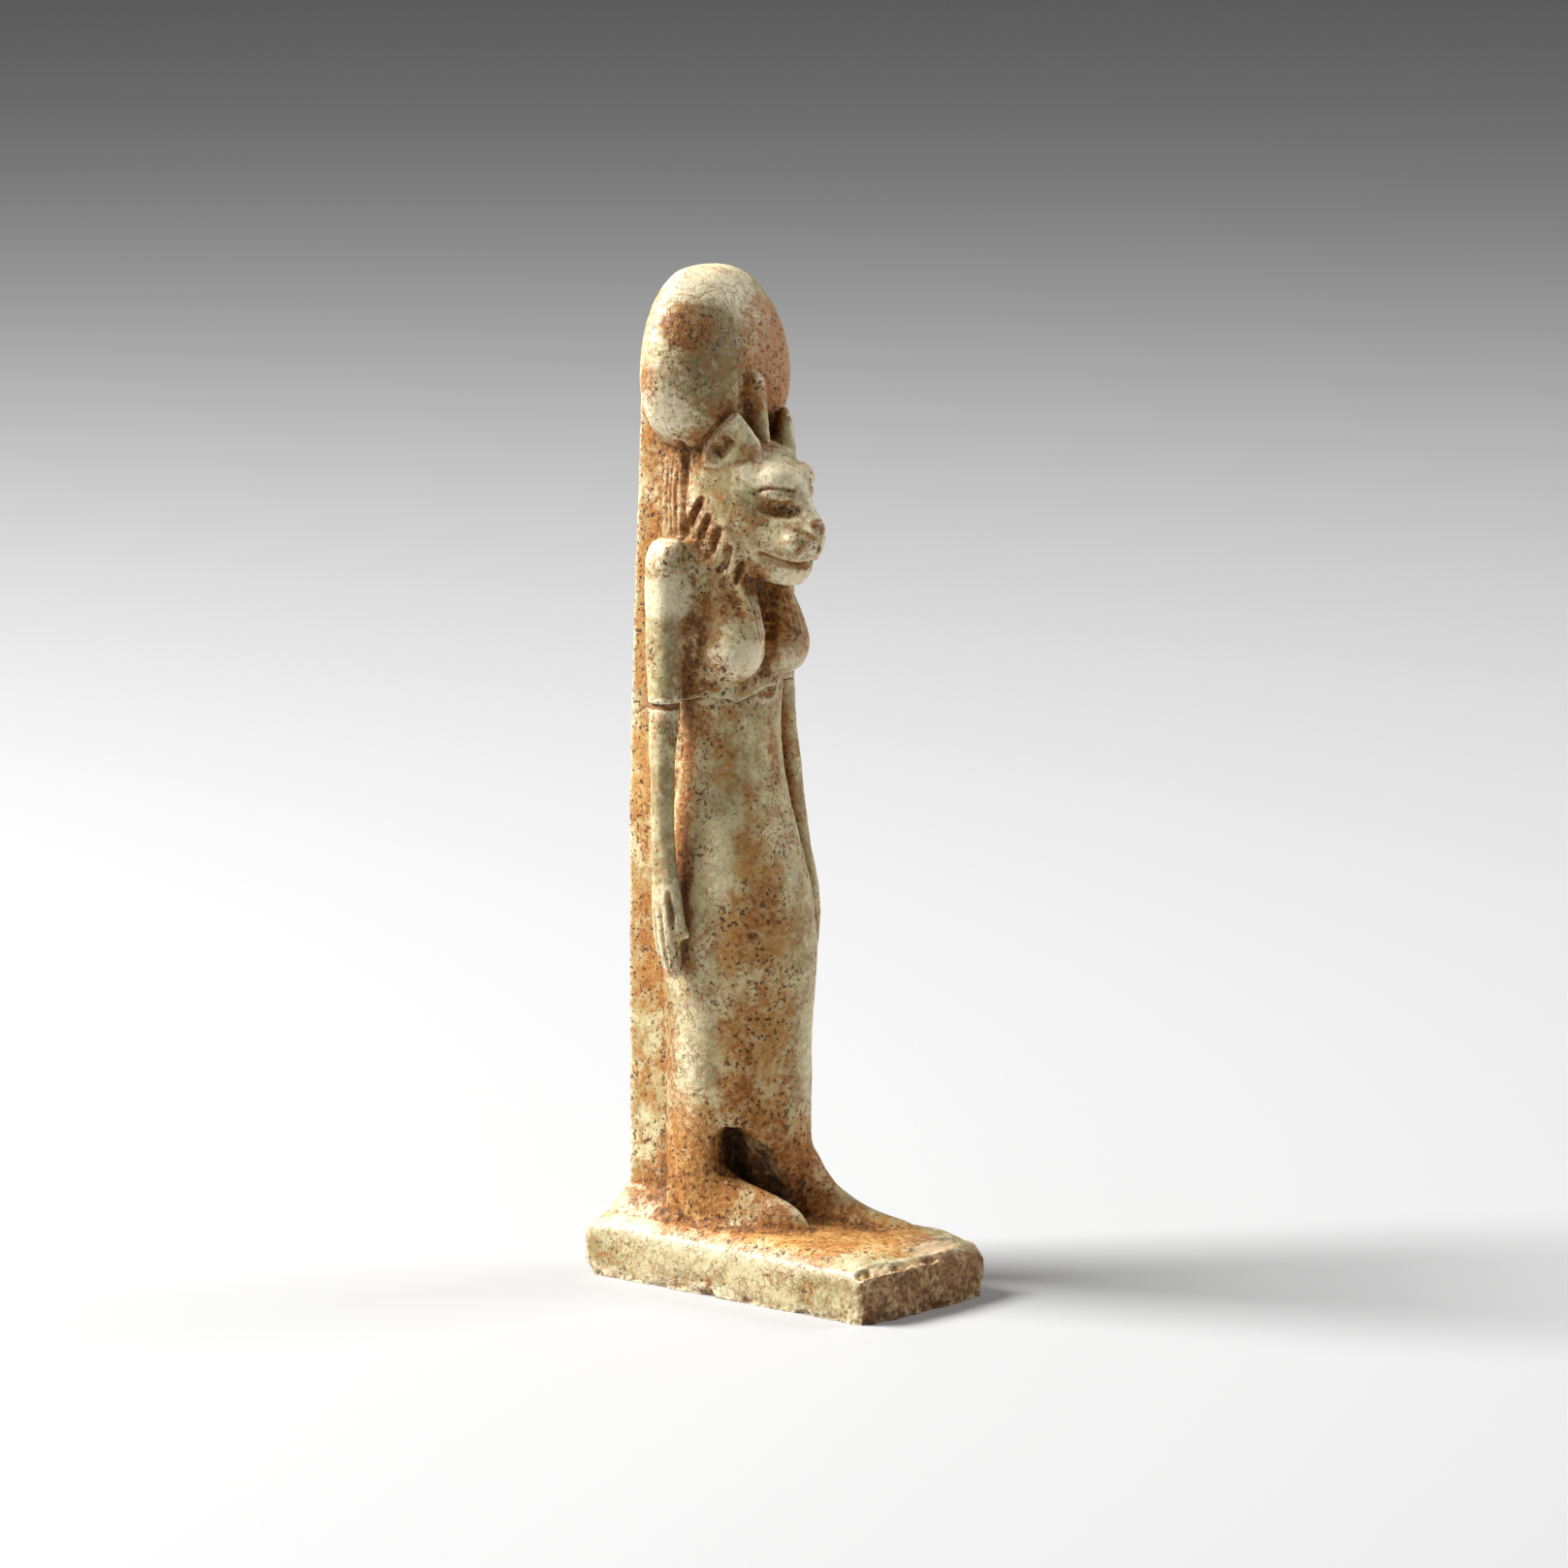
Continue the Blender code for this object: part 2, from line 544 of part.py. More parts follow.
class Surface:
    """The melted skin while it is carved, in the figure's millimetres above the plinth."""

    def __init__(self, mesh):
        self.mesh = mesh
        self.offset = np.array([0, STAND_Y, PLINTH_THICKNESS])
        self.read()

    def read(self):
        count = len(self.mesh.vertices)
        flat = np.empty(count * 3, np.float32)
        self.mesh.vertices.foreach_get("co", flat)
        self.points = (flat.reshape(-1, 3).astype(float) - self.offset) / MM
        self.mesh.vertices.foreach_get("normal", flat)
        self.normals = self.evened(flat.reshape(-1, 3).astype(float))
        faces = [tuple(face.vertices) for face in self.mesh.polygons]
        self.tree = BVHTree.FromPolygons(self.points.tolist(), faces)

    def evened(self, normals, steps=6):
        """Directions averaged with their neighbours', so that a cut runs true across the skin."""
        ends = np.empty(len(self.mesh.edges) * 2, np.int32)
        self.mesh.edges.foreach_get("vertices", ends)
        a, b = ends.reshape(-1, 2).T
        for _ in range(steps):
            total = normals.copy()
            for axis in range(3):
                total[:, axis] += np.bincount(a, normals[b, axis], len(normals))
                total[:, axis] += np.bincount(b, normals[a, axis], len(normals))
            normals = total / np.linalg.norm(total, axis=1, keepdims=True)
        return normals

    def softened(self, steps):
        """The points, each drawn again and again towards its neighbours."""
        ends = np.empty(len(self.mesh.edges) * 2, np.int32)
        self.mesh.edges.foreach_get("vertices", ends)
        a, b = ends.reshape(-1, 2).T
        points = self.points
        shares = 1 + np.bincount(a, minlength=len(points)) + np.bincount(b, minlength=len(points))
        for _ in range(round(steps)):
            total = points.copy()
            for axis in range(3):
                total[:, axis] += np.bincount(a, points[b, axis], len(points))
                total[:, axis] += np.bincount(b, points[a, axis], len(points))
            points = total / shares[:, None]
        return points

    def write(self):
        placed = (self.points * MM + self.offset).astype(np.float32)
        self.mesh.vertices.foreach_set("co", placed.ravel())
        self.mesh.update()
        self.read()

    def snapped(self, path):
        """The path drawn smooth, in short steps, and laid on the skin."""
        path = np.asarray(path, float)
        if len(path) == 2:
            path = np.array([path[0], path.mean(0), path[1]])
        length = np.linalg.norm(np.diff(path, axis=0), axis=1).sum()
        drawn = spline(path, math.ceil(length / (len(path) - 1) / GROOVE_STEP))
        return np.array([self.tree.find_nearest(Vector(p))[0] for p in drawn])

    def groove(self, path, width, depth, both_sides=False, ends=0.6):
        """Cuts a rounded groove along a path, or raises a ridge where depth is negative."""
        paths = [np.asarray(path, float)]
        if both_sides:
            paths.append(paths[0] * (-1, 1, 1))
        for one in paths:
            line = self.snapped(one)
            near = np.all((self.points > line.min(0) - width) & (self.points < line.max(0) + width), axis=1)
            index = np.where(near)[0]
            apart = np.linalg.norm(self.points[index, None] - line[None], axis=2)
            place = apart.argmin(1) / (len(line) - 1)
            fade = np.clip(np.minimum(place, 1 - place) / max(ends, 1e-6) * 2 + 0.45, 0, 1)
            share = np.clip(1 - apart.min(1) / (width / 2), 0, 1)
            cut = depth * fade * share * share * (3 - 2 * share)
            self.points[index] -= self.normals[index] * cut[:, None]


def on_arm(side, path):
    """A path drawn on her right arm, carried to either arm and its swing."""
    return [(side * x, y - lead(side, z), z) for x, y, z in path]


# Where one lump runs softly into the next: place, reach and how far it is softened
BLENDED = [
    ((0.0, 4.5, 57.0), (10.5, 6.5, 11.0), 14),
    ((4.0, 2.0, 9.5), (7.5, 8.5, 5.0), 24),
    ((-5.6, 2.4, 3.4), (2.6, 5.0, 6.0), 30),
]


def blend(surface):
    for at, reach, steps in BLENDED:
        off = (surface.points - np.array(at)) / np.array(reach)
        share = np.clip(2.5 * (1 - (off**2).sum(1)), 0, 1)[:, None]
        surface.points = surface.points * (1 - share) + surface.softened(steps) * share
    surface.write()


MANE_LOCKS = [
    ((-5.6, 5.9, 70.0), (-5.7, 7.3, 67.3)),
    ((-5.4, 5.1, 68.4), (-5.6, 6.3, 66.1)),
    ((-5.2, 4.1, 67.2), (-5.4, 5.2, 64.9)),
    ((-4.8, 3.2, 65.5), (-4.9, 4.1, 63.5)),
    ((-4.1, 2.2, 63.9), (-4.3, 2.8, 62.4)),
]


def carve(surface):
    """The grooves and hollows that show from a step away."""
    for top, low in MANE_LOCKS:
        surface.groove([top, low], 1.25, 0.6, both_sides=True)
    behind_mane = [(-5.6, 8.3, 73.6), (-5.7, 8.3, 69.5), (-5.8, 8.0, 65.2)]
    surface.groove(behind_mane, 1.3, 0.7, both_sides=True, ends=0.2)
    for i in range(3):
        y = 9.4 + 0.95 * i
        between_strands = [(-5.4, y, 73.3), (-5.5, y, 70.0), (-5.5, y, 66.6)]
        surface.groove(between_strands, 0.95, 0.4, both_sides=True, ends=0.1)
    for i in range(2):
        x = 2.2 + 0.95 * i
        flute = [(-x, 2.0, 61.5), (-x, 1.0, 59.2), (-x, 0.3, 56.9)]
        surface.groove(flute, 0.9, 0.35, both_sides=True, ends=0.2)
    surface.groove([(-4.5, 2.3, 73.0), (-4.6, 2.0, 69.5), (-4.3, 1.9, 65.8)], 0.8, 0.15, both_sides=True)
    mouth = [(-3.1, 0.7, 65.3), (-2.3, -0.9, 64.6), (-1.2, -2.0, 64.3), (0, -2.8, 64.3)]
    surface.groove(mouth, 0.9, 0.35, both_sides=True, ends=0.2)
    surface.groove([(-3.5, 1.3, 70.9), (-2.5, -0.4, 71.45), (-1.2, -1.9, 71.1)], 0.8, 0.3, both_sides=True)
    surface.groove([(-2.8, 0.2, 69.7), (-1.9, -0.9, 69.25), (-1.0, -1.9, 69.35)], 2.2, 0.75, both_sides=True)
    surface.groove([(-1.3, -3.2, 67.9), (-1.1, -3.6, 66.9), (-0.7, -4.1, 66.4)], 0.8, 0.25, both_sides=True)
    in_ear = [(-5.1, 4.6, 74.4), (-4.7, 3.9, 74.9), (-4.4, 3.4, 76.0)]
    surface.groove(in_ear, 2.6, 0.7, both_sides=True, ends=0.5)
    for side in (RIGHT, LEFT):
        for i in range(2):
            y = 7.2 + 1.0 * i
            between_fingers = [(9.5, y + 0.3, 31.5), (9.4, y, 28.5), (9.1, y - 0.2, 26.0)]
            surface.groove(on_arm(side, between_fingers), 0.85, 0.3, ends=0.2)
        beside_thumb = [(9.4, 6.7, 33.2), (9.2, 6.6, 31.5), (9.0, 6.5, 29.7)]
        surface.groove(on_arm(side, beside_thumb), 0.9, 0.55, ends=0.3)
    surface.write()


def level_underside(surface):
    """Saws the underside flat and closes it."""
    cut = bmesh.new()
    cut.from_mesh(surface.mesh)
    everything = cut.verts[:] + cut.edges[:] + cut.faces[:]
    bmesh.ops.bisect_plane(cut, geom=everything, plane_co=(0, 0, 0), plane_no=(0, 0, 1), clear_inner=True)
    rim = [edge for edge in cut.edges if edge.is_boundary]
    bmesh.ops.edgeloop_fill(cut, edges=rim)
    bmesh.ops.recalc_face_normals(cut, faces=cut.faces)
    cut.to_mesh(surface.mesh)
    cut.free()
    surface.mesh.update()


def lighten(mesh, name):
    """The finished skin with as few triangles as keep its form."""
    figure = bpy.data.objects.new(name, mesh)
    bpy.context.scene.collection.objects.link(figure)
    mesh.calc_loop_triangles()
    settle = figure.modifiers.new("settle", "SMOOTH")
    settle.factor = 0.4
    settle.iterations = 2
    fewer = figure.modifiers.new("fewer", "DECIMATE")
    fewer.decimate_type = "COLLAPSE"
    fewer.use_collapse_triangulate = True
    fewer.ratio = min(1.0, TRIANGLES / len(mesh.loop_triangles))
    graph = bpy.context.evaluated_depsgraph_get()
    light = bpy.data.meshes.new_from_object(figure.evaluated_get(graph), depsgraph=graph)
    bpy.data.objects.remove(figure)
    return light


def glaze_material():
    material = bpy.data.materials.new("glazed_composition")
    material.use_nodes = True
    shader = material.node_tree.nodes["Principled BSDF"]
    shader.inputs["Base Color"].default_value = GLAZE_COLOUR
    shader.inputs["Roughness"].default_value = GLAZE_ROUGHNESS
    shader.inputs["Metallic"].default_value = 0.0
    return material


def build():
    clear_scene()
    collection = bpy.data.collections.new("lioness_goddess_figure")
    bpy.context.scene.collection.children.link(collection)
    surface = Surface(melted(figure_lumps(), "figure"))
    blend(surface)
    carve(surface)
    level_underside(surface)
    light = lighten(surface.mesh, "figure")
    light.name = "figure"
    light.materials.clear()
    light.materials.append(glaze_material())
    light.shade_smooth()
    figure = bpy.data.objects.new("figure", light)
    collection.objects.link(figure)


build()
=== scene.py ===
"""A worn glazed-composition figure of a lioness-headed goddess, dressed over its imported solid.

Metres, +Z up. The origin is the centre of the plinth's underside. She faces -Y and her left is +X.
"""

import math

import bmesh
import bpy
import numpy as np
from mathutils import Matrix, Vector, noise
from mathutils.bvhtree import BVHTree


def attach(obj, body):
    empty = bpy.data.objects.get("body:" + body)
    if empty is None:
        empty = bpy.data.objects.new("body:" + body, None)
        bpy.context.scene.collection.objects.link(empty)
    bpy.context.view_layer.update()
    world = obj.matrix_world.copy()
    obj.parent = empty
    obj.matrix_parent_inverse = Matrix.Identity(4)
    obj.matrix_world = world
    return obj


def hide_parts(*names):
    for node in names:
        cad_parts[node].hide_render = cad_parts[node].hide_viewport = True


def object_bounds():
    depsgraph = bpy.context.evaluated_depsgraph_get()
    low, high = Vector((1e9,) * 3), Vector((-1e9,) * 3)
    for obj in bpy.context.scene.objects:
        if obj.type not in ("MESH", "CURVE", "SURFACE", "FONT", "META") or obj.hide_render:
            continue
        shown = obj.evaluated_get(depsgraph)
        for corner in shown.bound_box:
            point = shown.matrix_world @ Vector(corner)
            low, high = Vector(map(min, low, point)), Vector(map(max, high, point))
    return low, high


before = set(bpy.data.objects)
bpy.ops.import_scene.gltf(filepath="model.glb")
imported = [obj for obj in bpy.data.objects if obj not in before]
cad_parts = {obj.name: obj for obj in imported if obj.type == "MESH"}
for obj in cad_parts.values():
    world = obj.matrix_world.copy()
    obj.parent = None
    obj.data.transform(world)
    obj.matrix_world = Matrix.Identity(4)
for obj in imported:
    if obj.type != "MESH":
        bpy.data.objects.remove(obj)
SOLID_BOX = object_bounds()

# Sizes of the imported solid, in metres
PLINTH_LENGTH = 0.0355
PLINTH_WIDTH = 0.0175
PLINTH_THICKNESS = 0.0047
PLINTH_CROWN = 0.0013
PLINTH_FRONT_BULGE = 0.0005
PLINTH_SIDE_SWELL_WIDTH = 0.0024
PLINTH_FRONT_SWELL_LENGTH = 0.0050
PLINTH_BACK_SWELL_LENGTH = 0.0030
BACK_MARGIN = 0.0026
PILLAR_WIDTH = 0.0104
PILLAR_BACK_REACH = 0.0155
MM = 0.001

# The skin: how finely it is melted together and carved, and how many triangles it keeps
VOXEL = 0.16 * MM
SOFTEN_STEPS = 4
GROOVE_STEP = 0.08
TRIANGLES = 190000

# What the plinth is drawn too thick by, in millimetres, before its underside is sawn level
SAWN_OFF = 2.0

STAND_Y = PLINTH_LENGTH / 2 - BACK_MARGIN - PILLAR_BACK_REACH
STAND = np.array([0, STAND_Y, PLINTH_THICKNESS])
RIGHT, LEFT = -1, 1


def spline(rows, per_span):
    """Catmull-Rom curve through rows of numbers, each row being one station."""
    rows = np.asarray(rows, float)
    padded = np.vstack([2 * rows[0] - rows[1], rows, 2 * rows[-1] - rows[-2]])
    made = []
    for i in range(1, len(padded) - 2):
        a, b, c, d = padded[i - 1 : i + 3]
        for t in np.arange(per_span) / per_span:
            curve = 2 * b + (c - a) * t + (2 * a - 5 * b + 4 * c - d) * t**2 + (3 * b - a - 3 * c + d) * t**3
            made.append(0.5 * curve)
    made.append(rows[-1])
    return np.array(made)


def ring(half_width, front, back, power, sides):
    """A flattened round section: x across, y along the depth, front towards -y."""
    turn = np.arange(sides) * 2 * math.pi / sides
    cos, sin = np.cos(turn), np.sin(turn)
    x = half_width * np.sign(cos) * np.abs(cos) ** (2 / power)
    depth = np.where(sin < 0, front, back)
    y = depth * np.sign(sin) * np.abs(sin) ** (2 / power)
    return x, y


def closed_over(rings):
    """A closed mesh over rings of points, capped at both ends."""
    clay = bmesh.new()
    layers = [[clay.verts.new(p) for p in points] for points in rings]
    for lower, upper in zip(layers, layers[1:]):
        count = len(lower)
        for i in range(count):
            j = (i + 1) % count
            clay.faces.new((lower[i], lower[j], upper[j], upper[i]))
    clay.faces.new(reversed(layers[0]))
    clay.faces.new(layers[-1])
    bmesh.ops.recalc_face_normals(clay, faces=clay.faces)
    return clay


def column(rows, sides=40, per_span=5, power=2.0, shape=None):
    """A lump stacked from sections (z, x, y, half width, front depth, back depth), low to high."""
    rings = []
    for z, cx, cy, half_width, front, back in spline(rows, per_span):
        x, y = ring(max(half_width, 0.05), max(front, 0.05), max(back, 0.05), power, sides)
        if shape:
            x, y = shape(z, x, y)
        rings.append([Vector((cx + px, cy + py, z)) for px, py in zip(x, y)])
    return closed_over(rings)


def ball(centre, radii, turn=0.0):
    """An egg-shaped lump, turned about z."""
    clay = bmesh.new()
    bmesh.ops.create_uvsphere(clay, u_segments=32, v_segments=20, radius=1.0)
    place = Matrix.Translation(centre) @ Matrix.Rotation(turn, 4, "Z") @ Matrix.Diagonal((*radii, 1.0))
    bmesh.ops.transform(clay, matrix=place, verts=clay.verts)
    return clay


def mirrored(clay):
    """The same lump on her other side."""
    other = clay.copy()
    bmesh.ops.transform(other, matrix=Matrix.Diagonal((-1, 1, 1, 1)), verts=other.verts)
    bmesh.ops.reverse_faces(other, faces=other.faces)
    return other


def moved(clay, matrix):
    bmesh.ops.transform(clay, matrix=matrix, verts=clay.verts)
    return clay


def at_height(z, values):
    """Reads a value that changes with height from a short list of (z, value)."""
    heights, amounts = zip(*values)
    return float(np.interp(z, heights, amounts))


def pillar():
    """The back pillar: flat, a little narrower and thinner towards the sun disc, spread at its foot."""
    half = PILLAR_WIDTH / MM / 2
    back = PILLAR_BACK_REACH / MM
    front = 8.0
    rows = [
        (-1.5, half + 2.4, back + 2.2),
        (1, half + 2, back + 1.9),
        (2.3, half + 1, back + 1.1),
        (3.8, half + 0.3, back + 0.35),
        (6, half, back),
        (36, half, back),
        (60, 0.96 * half, back - 0.6),
        (82.4, 0.92 * half, back - 1.5),
    ]
    rings = []
    for z, half_width, depth in spline(rows, 5):
        corners = [(-half_width, front), (half_width, front), (half_width, depth), (-half_width, depth)]
        rings.append([Vector((x, y, z)) for x, y in corners])
    return closed_over(rings)


# The round of the legs at the hem: its middle's depth, half its width, its reach forward and back,
# and how square it is
AXIS_Y = 7.0
HEM_WIDTH = 6.35
HEM_FRONT = 6.8
HEM_BACK = 6.2
HEM_POWER = 2.1
# How far the left half of the skirt is carried forward at each height, and where that comes in
STRIDE = [(0, 1.5), (9, 1.5), (20, 1.25), (32, 0.6), (43, 0.0)]
STRIDE_WIDTH = 6.5
STRIDE_FRONT = 4.0


def strided(z, x, y):
    """Carries the left half of the skirt forward and the right half back."""
    frontness = np.clip(-y / STRIDE_FRONT, 0, 1)
    return x, y - at_height(z, STRIDE) * x / STRIDE_WIDTH * frontness


HOLLOW_DEPTH = [(2.2, 0.6), (3.2, 2.4), (4.6, 4.2), (6.5, 5.0), (9.0, 5.0), (10.2, 4.0), (10.9, 0.0)]
HOLLOW_BEARING = [(3.5, 32), (4.6, 36), (6.0, 42), (8.0, 46), (10.6, 52)]
HOLLOW_OUTER = [(3.5, 22), (5.0, 25), (8.0, 23), (9.6, 19), (10.6, 8)]
HOLLOW_INNER = [(3.5, 36), (5.0, 42), (7.5, 44), (9.4, 36), (10.6, 14)]


def hollowed(z, x, y):
    """The deep blind hollow between the standing leg and the advanced one, under the hem."""
    x, y = strided(z, x, y)
    bearing = np.degrees(np.arctan2(-x, -y))
    off = bearing - at_height(z, HOLLOW_BEARING)
    off = np.where(off > 0, off / at_height(z, HOLLOW_OUTER), off / at_height(z, HOLLOW_INNER))
    steep = np.where(off > 0, off**4, np.abs(off) ** 2.4)
    sink = at_height(z, HOLLOW_DEPTH) * np.clip(1 - steep, 0, 1) ** 1.3
    keep = 1 - sink / np.hypot(x, y)
    return x * keep, y * keep


def body():
    """Trunk and sheath dress, from the hem to the neck."""
    rows = [
        (10.7, 0, 7, 6.35, 6.8, 6.2),
        (13.5, 0, 7, 6.4, 6.9, 6.2),
        (19, 0, 7, 6.5, 7, 6.2),
        (22.5, 0, 7, 6.7, 7.3, 6.2),
        (25.5, 0, 7, 6.9, 7.75, 6),
        (29.5, 0, 7, 7, 7.6, 6),
        (33, 0, 7, 6.9, 7.1, 5.8),
        (38, 0, 7, 6.4, 5.5, 5.4),
        (43.5, 0, 7, 5.7, 4.1, 5),
        (48, 0, 7, 5.5, 3.6, 5),
        (52.5, 0, 7.2, 6.1, 3.8, 4.6),
        (57, 0, 7.4, 6.7, 4.2, 4.4),
        (61, 0, 7.6, 6.8, 4.2, 4.2),
        (64, 0, 8, 6.2, 4.4, 4),
        (66, 0, 8, 5, 4, 3.8),
    ]
    return column(rows, sides=56, power=HEM_POWER, shape=strided)


def legs():
    """Both legs as one mass below the hem, hollowed on her right."""
    heights = (-0.9, 2.0, 2.8, 4.0, 5.5, 7.0, 8.5, 9.6, 10.4, 10.9, 12.5)
    rows = [(z, 0, AXIS_Y, HEM_WIDTH, HEM_FRONT, HEM_BACK) for z in heights]
    return column(rows, sides=120, per_span=4, power=HEM_POWER, shape=hollowed)


def breast(side):
    rows = [
        (52.9, side * 3.3, 4.6, 1.6, 1.4, 3),
        (53.8, side * 3.25, 4.3, 2.5, 2.5, 3),
        (55.6, side * 3.2, 4.1, 3.1, 3.05, 3),
        (57.6, side * 3.1, 4.2, 3, 2.7, 3),
        (59.8, side * 3.1, 4.7, 2.7, 2.1, 3),
        (62, side * 3.1, 5.4, 2.3, 1.4, 3),
    ]
    return column(rows, sides=32)


LEFT_ARM_LEAD = [(24, 2.6), (29, 2.7), (34, 2.0), (41, 1.8), (48, 0.5), (54, 0.0)]


def lead(side, z):
    """How far the left arm swings forward of the right one."""
    return at_height(z, LEFT_ARM_LEAD) if side == LEFT else 0.0


def arm(side):
    """Upper arm, forearm and the flat open hand against the thigh."""
    rows = [
        (24.9, 8, 7, 0.35, 0.5, 0.5),
        (25.8, 8.15, 7.2, 0.8, 0.9, 0.9),
        (28, 8.35, 7.6, 1, 1.3, 1.3),
        (30.5, 8.5, 7.7, 1.05, 1.6, 1.5),
        (33.3, 8.5, 7.8, 1.05, 1.6, 1.5),
        (36, 8.4, 8.1, 1, 1.3, 1.2),
        (39.6, 8.3, 8.35, 1.05, 1, 1.05),
        (43.3, 8.25, 8.4, 1.1, 1.05, 1.1),
        (47.3, 8.15, 8.4, 1.25, 1.2, 1.3),
        (51.5, 7.85, 8.35, 1.5, 1.5, 1.6),
        (56, 7.6, 8.4, 1.75, 1.7, 1.9),
        (61, 7.6, 8.45, 1.85, 1.85, 2),
        (64, 7.6, 8.5, 1.8, 1.85, 1.9),
        (65.7, 7.45, 8.5, 1.35, 1.6, 1.6),
        (66.3, 7.2, 8.5, 0.7, 1, 1),
    ]
    rows = [(z, side * x, y - lead(side, z), a, front, back) for z, x, y, a, front, back in rows]
    return column(rows, sides=32, per_span=4, power=2.3)


def deltoid(side):
    """Softens the step from the chest to the upper arm."""
    return ball((side * 6.4, 7.75, 60.2), (1.9, 1.65, 5.4))


def thumb(side):
    rows = [
        (28.6, side * 7.8, 5.5, 0.35, 0.35, 0.5),
        (29.2, side * 7.95, 5.7, 0.6, 0.6, 0.8),
        (30.2, side * 8.1, 6.2, 0.65, 0.6, 0.7),
        (31.8, side * 8.3, 6.5, 0.65, 0.6, 0.6),
        (34.5, side * 8.4, 6.9, 0.6, 0.5, 0.6),
    ]
    rows = [(z, x, y - lead(side, max(z, 33.0)), a, front, back) for z, x, y, a, front, back in rows]
    return column(rows, sides=20, per_span=4)


def shoulder_yoke():
    """The slope from the neck out to both shoulders."""
    rows = [
        (57, 0, 8.4, 7, 3, 3),
        (61, 0, 8.5, 7.9, 3.2, 3),
        (64.2, 0, 8.5, 8.1, 2.9, 2.8),
        (65.8, 0, 8.5, 7.6, 2.1, 2.2),
        (66.2, 0, 8.5, 7, 1.4, 1.6),
    ]
    return column(rows, power=2.6)


def foot(stations, sides=28, per_span=5):
    """A wedge-shaped foot from stations (y, x, half width, instep height), heel first."""
    rings = []
    floor = -0.9
    for y, x, half_width, height in spline(stations, per_span):
        turn = np.arange(sides) * 2 * math.pi / sides
        cos, sin = np.cos(turn), np.sin(turn)
        across = half_width * np.sign(cos) * np.abs(cos) ** 0.75
        up = np.where(sin > 0, (height - floor) * np.abs(sin) ** 0.85, 0) + floor
        rings.append([Vector((x + a, y, z)) for a, z in zip(across, up)])
    return closed_over(rings)


def right_foot():
    """Set flat under the standing leg, its great toe foremost."""
    stations = [
        (10, -4.3, 2, 8.6),
        (7.2, -4.3, 2.05, 8.5),
        (5.6, -4.2, 2.1, 7.3),
        (4, -3.8, 2.15, 6.1),
        (2, -3.15, 2.2, 5.1),
        (0, -2.65, 2.05, 4.5),
        (-1.6, -2.25, 1.65, 3.9),
        (-2.9, -1.85, 1.2, 3.1),
        (-3.8, -1.55, 0.6, 2),
    ]
    return foot(stations)


def left_foot():
    """The advanced foot: a long wedge that runs down from the shin, turned a little out."""
    stations = [
        (5, 3.7, 2.3, 9.5),
        (2, 3.7, 2.4, 9.3),
        (0.2, 3.75, 2.45, 7.4),
        (-1.4, 3.85, 2.4, 5.2),
        (-3.2, 4.2, 2.3, 3.9),
        (-5.2, 4.6, 2.15, 3),
        (-7.4, 5.1, 1.95, 2.35),
        (-9.4, 5.55, 1.65, 1.9),
        (-10.8, 5.85, 1.15, 1.5),
        (-11.5, 6, 0.5, 1.1),
    ]
    return foot(stations)


def sun_disc():
    """Round from the front, and a wedge from the side: thick over the wig and thin at the top."""
    rows = [
        (73.2, 0, 9.05, 1.5, 1.5, 1.5),
        (73.9, 0, 9.05, 3.8, 3.2, 3.2),
        (75.2, 0, 9.05, 5.9, 4.5, 4.4),
        (77, 0, 9.05, 7.6, 4.95, 4.9),
        (79.4, 0, 9.05, 8.8, 5.05, 4.95),
        (82, 0, 9.1, 9, 4.95, 4.85),
        (84.6, 0, 9.25, 8.5, 4.6, 4.6),
        (86.8, 0, 9.45, 7.6, 4.15, 4.2),
        (88.6, 0, 9.6, 6.4, 3.6, 3.6),
        (90, 0, 9.75, 5, 2.8, 2.8),
        (90.9, 0, 9.85, 3.3, 1.8, 1.9),
        (91.3, 0, 9.9, 1.3, 0.8, 0.9),
    ]
    return column(rows, sides=56, per_span=4)


def uraeus():
    """The rearing cobra on the disc: a rounded hood over a narrow neck."""
    rows = [
        (73.9, 0, 3.2, 0.7, 1.1, 2.5),
        (76, 0, 3.4, 0.7, 0.9, 2.5),
        (77.6, 0, 3.7, 0.9, 0.85, 2.5),
        (79.2, 0, 4, 1.15, 0.95, 2.5),
        (80.4, 0, 4.2, 1.2, 1, 2.5),
        (81.2, 0, 4.4, 1.05, 0.9, 2.2),
        (81.7, 0, 4.6, 0.6, 0.5, 1.5),
    ]
    return column(rows, sides=24, per_span=5)


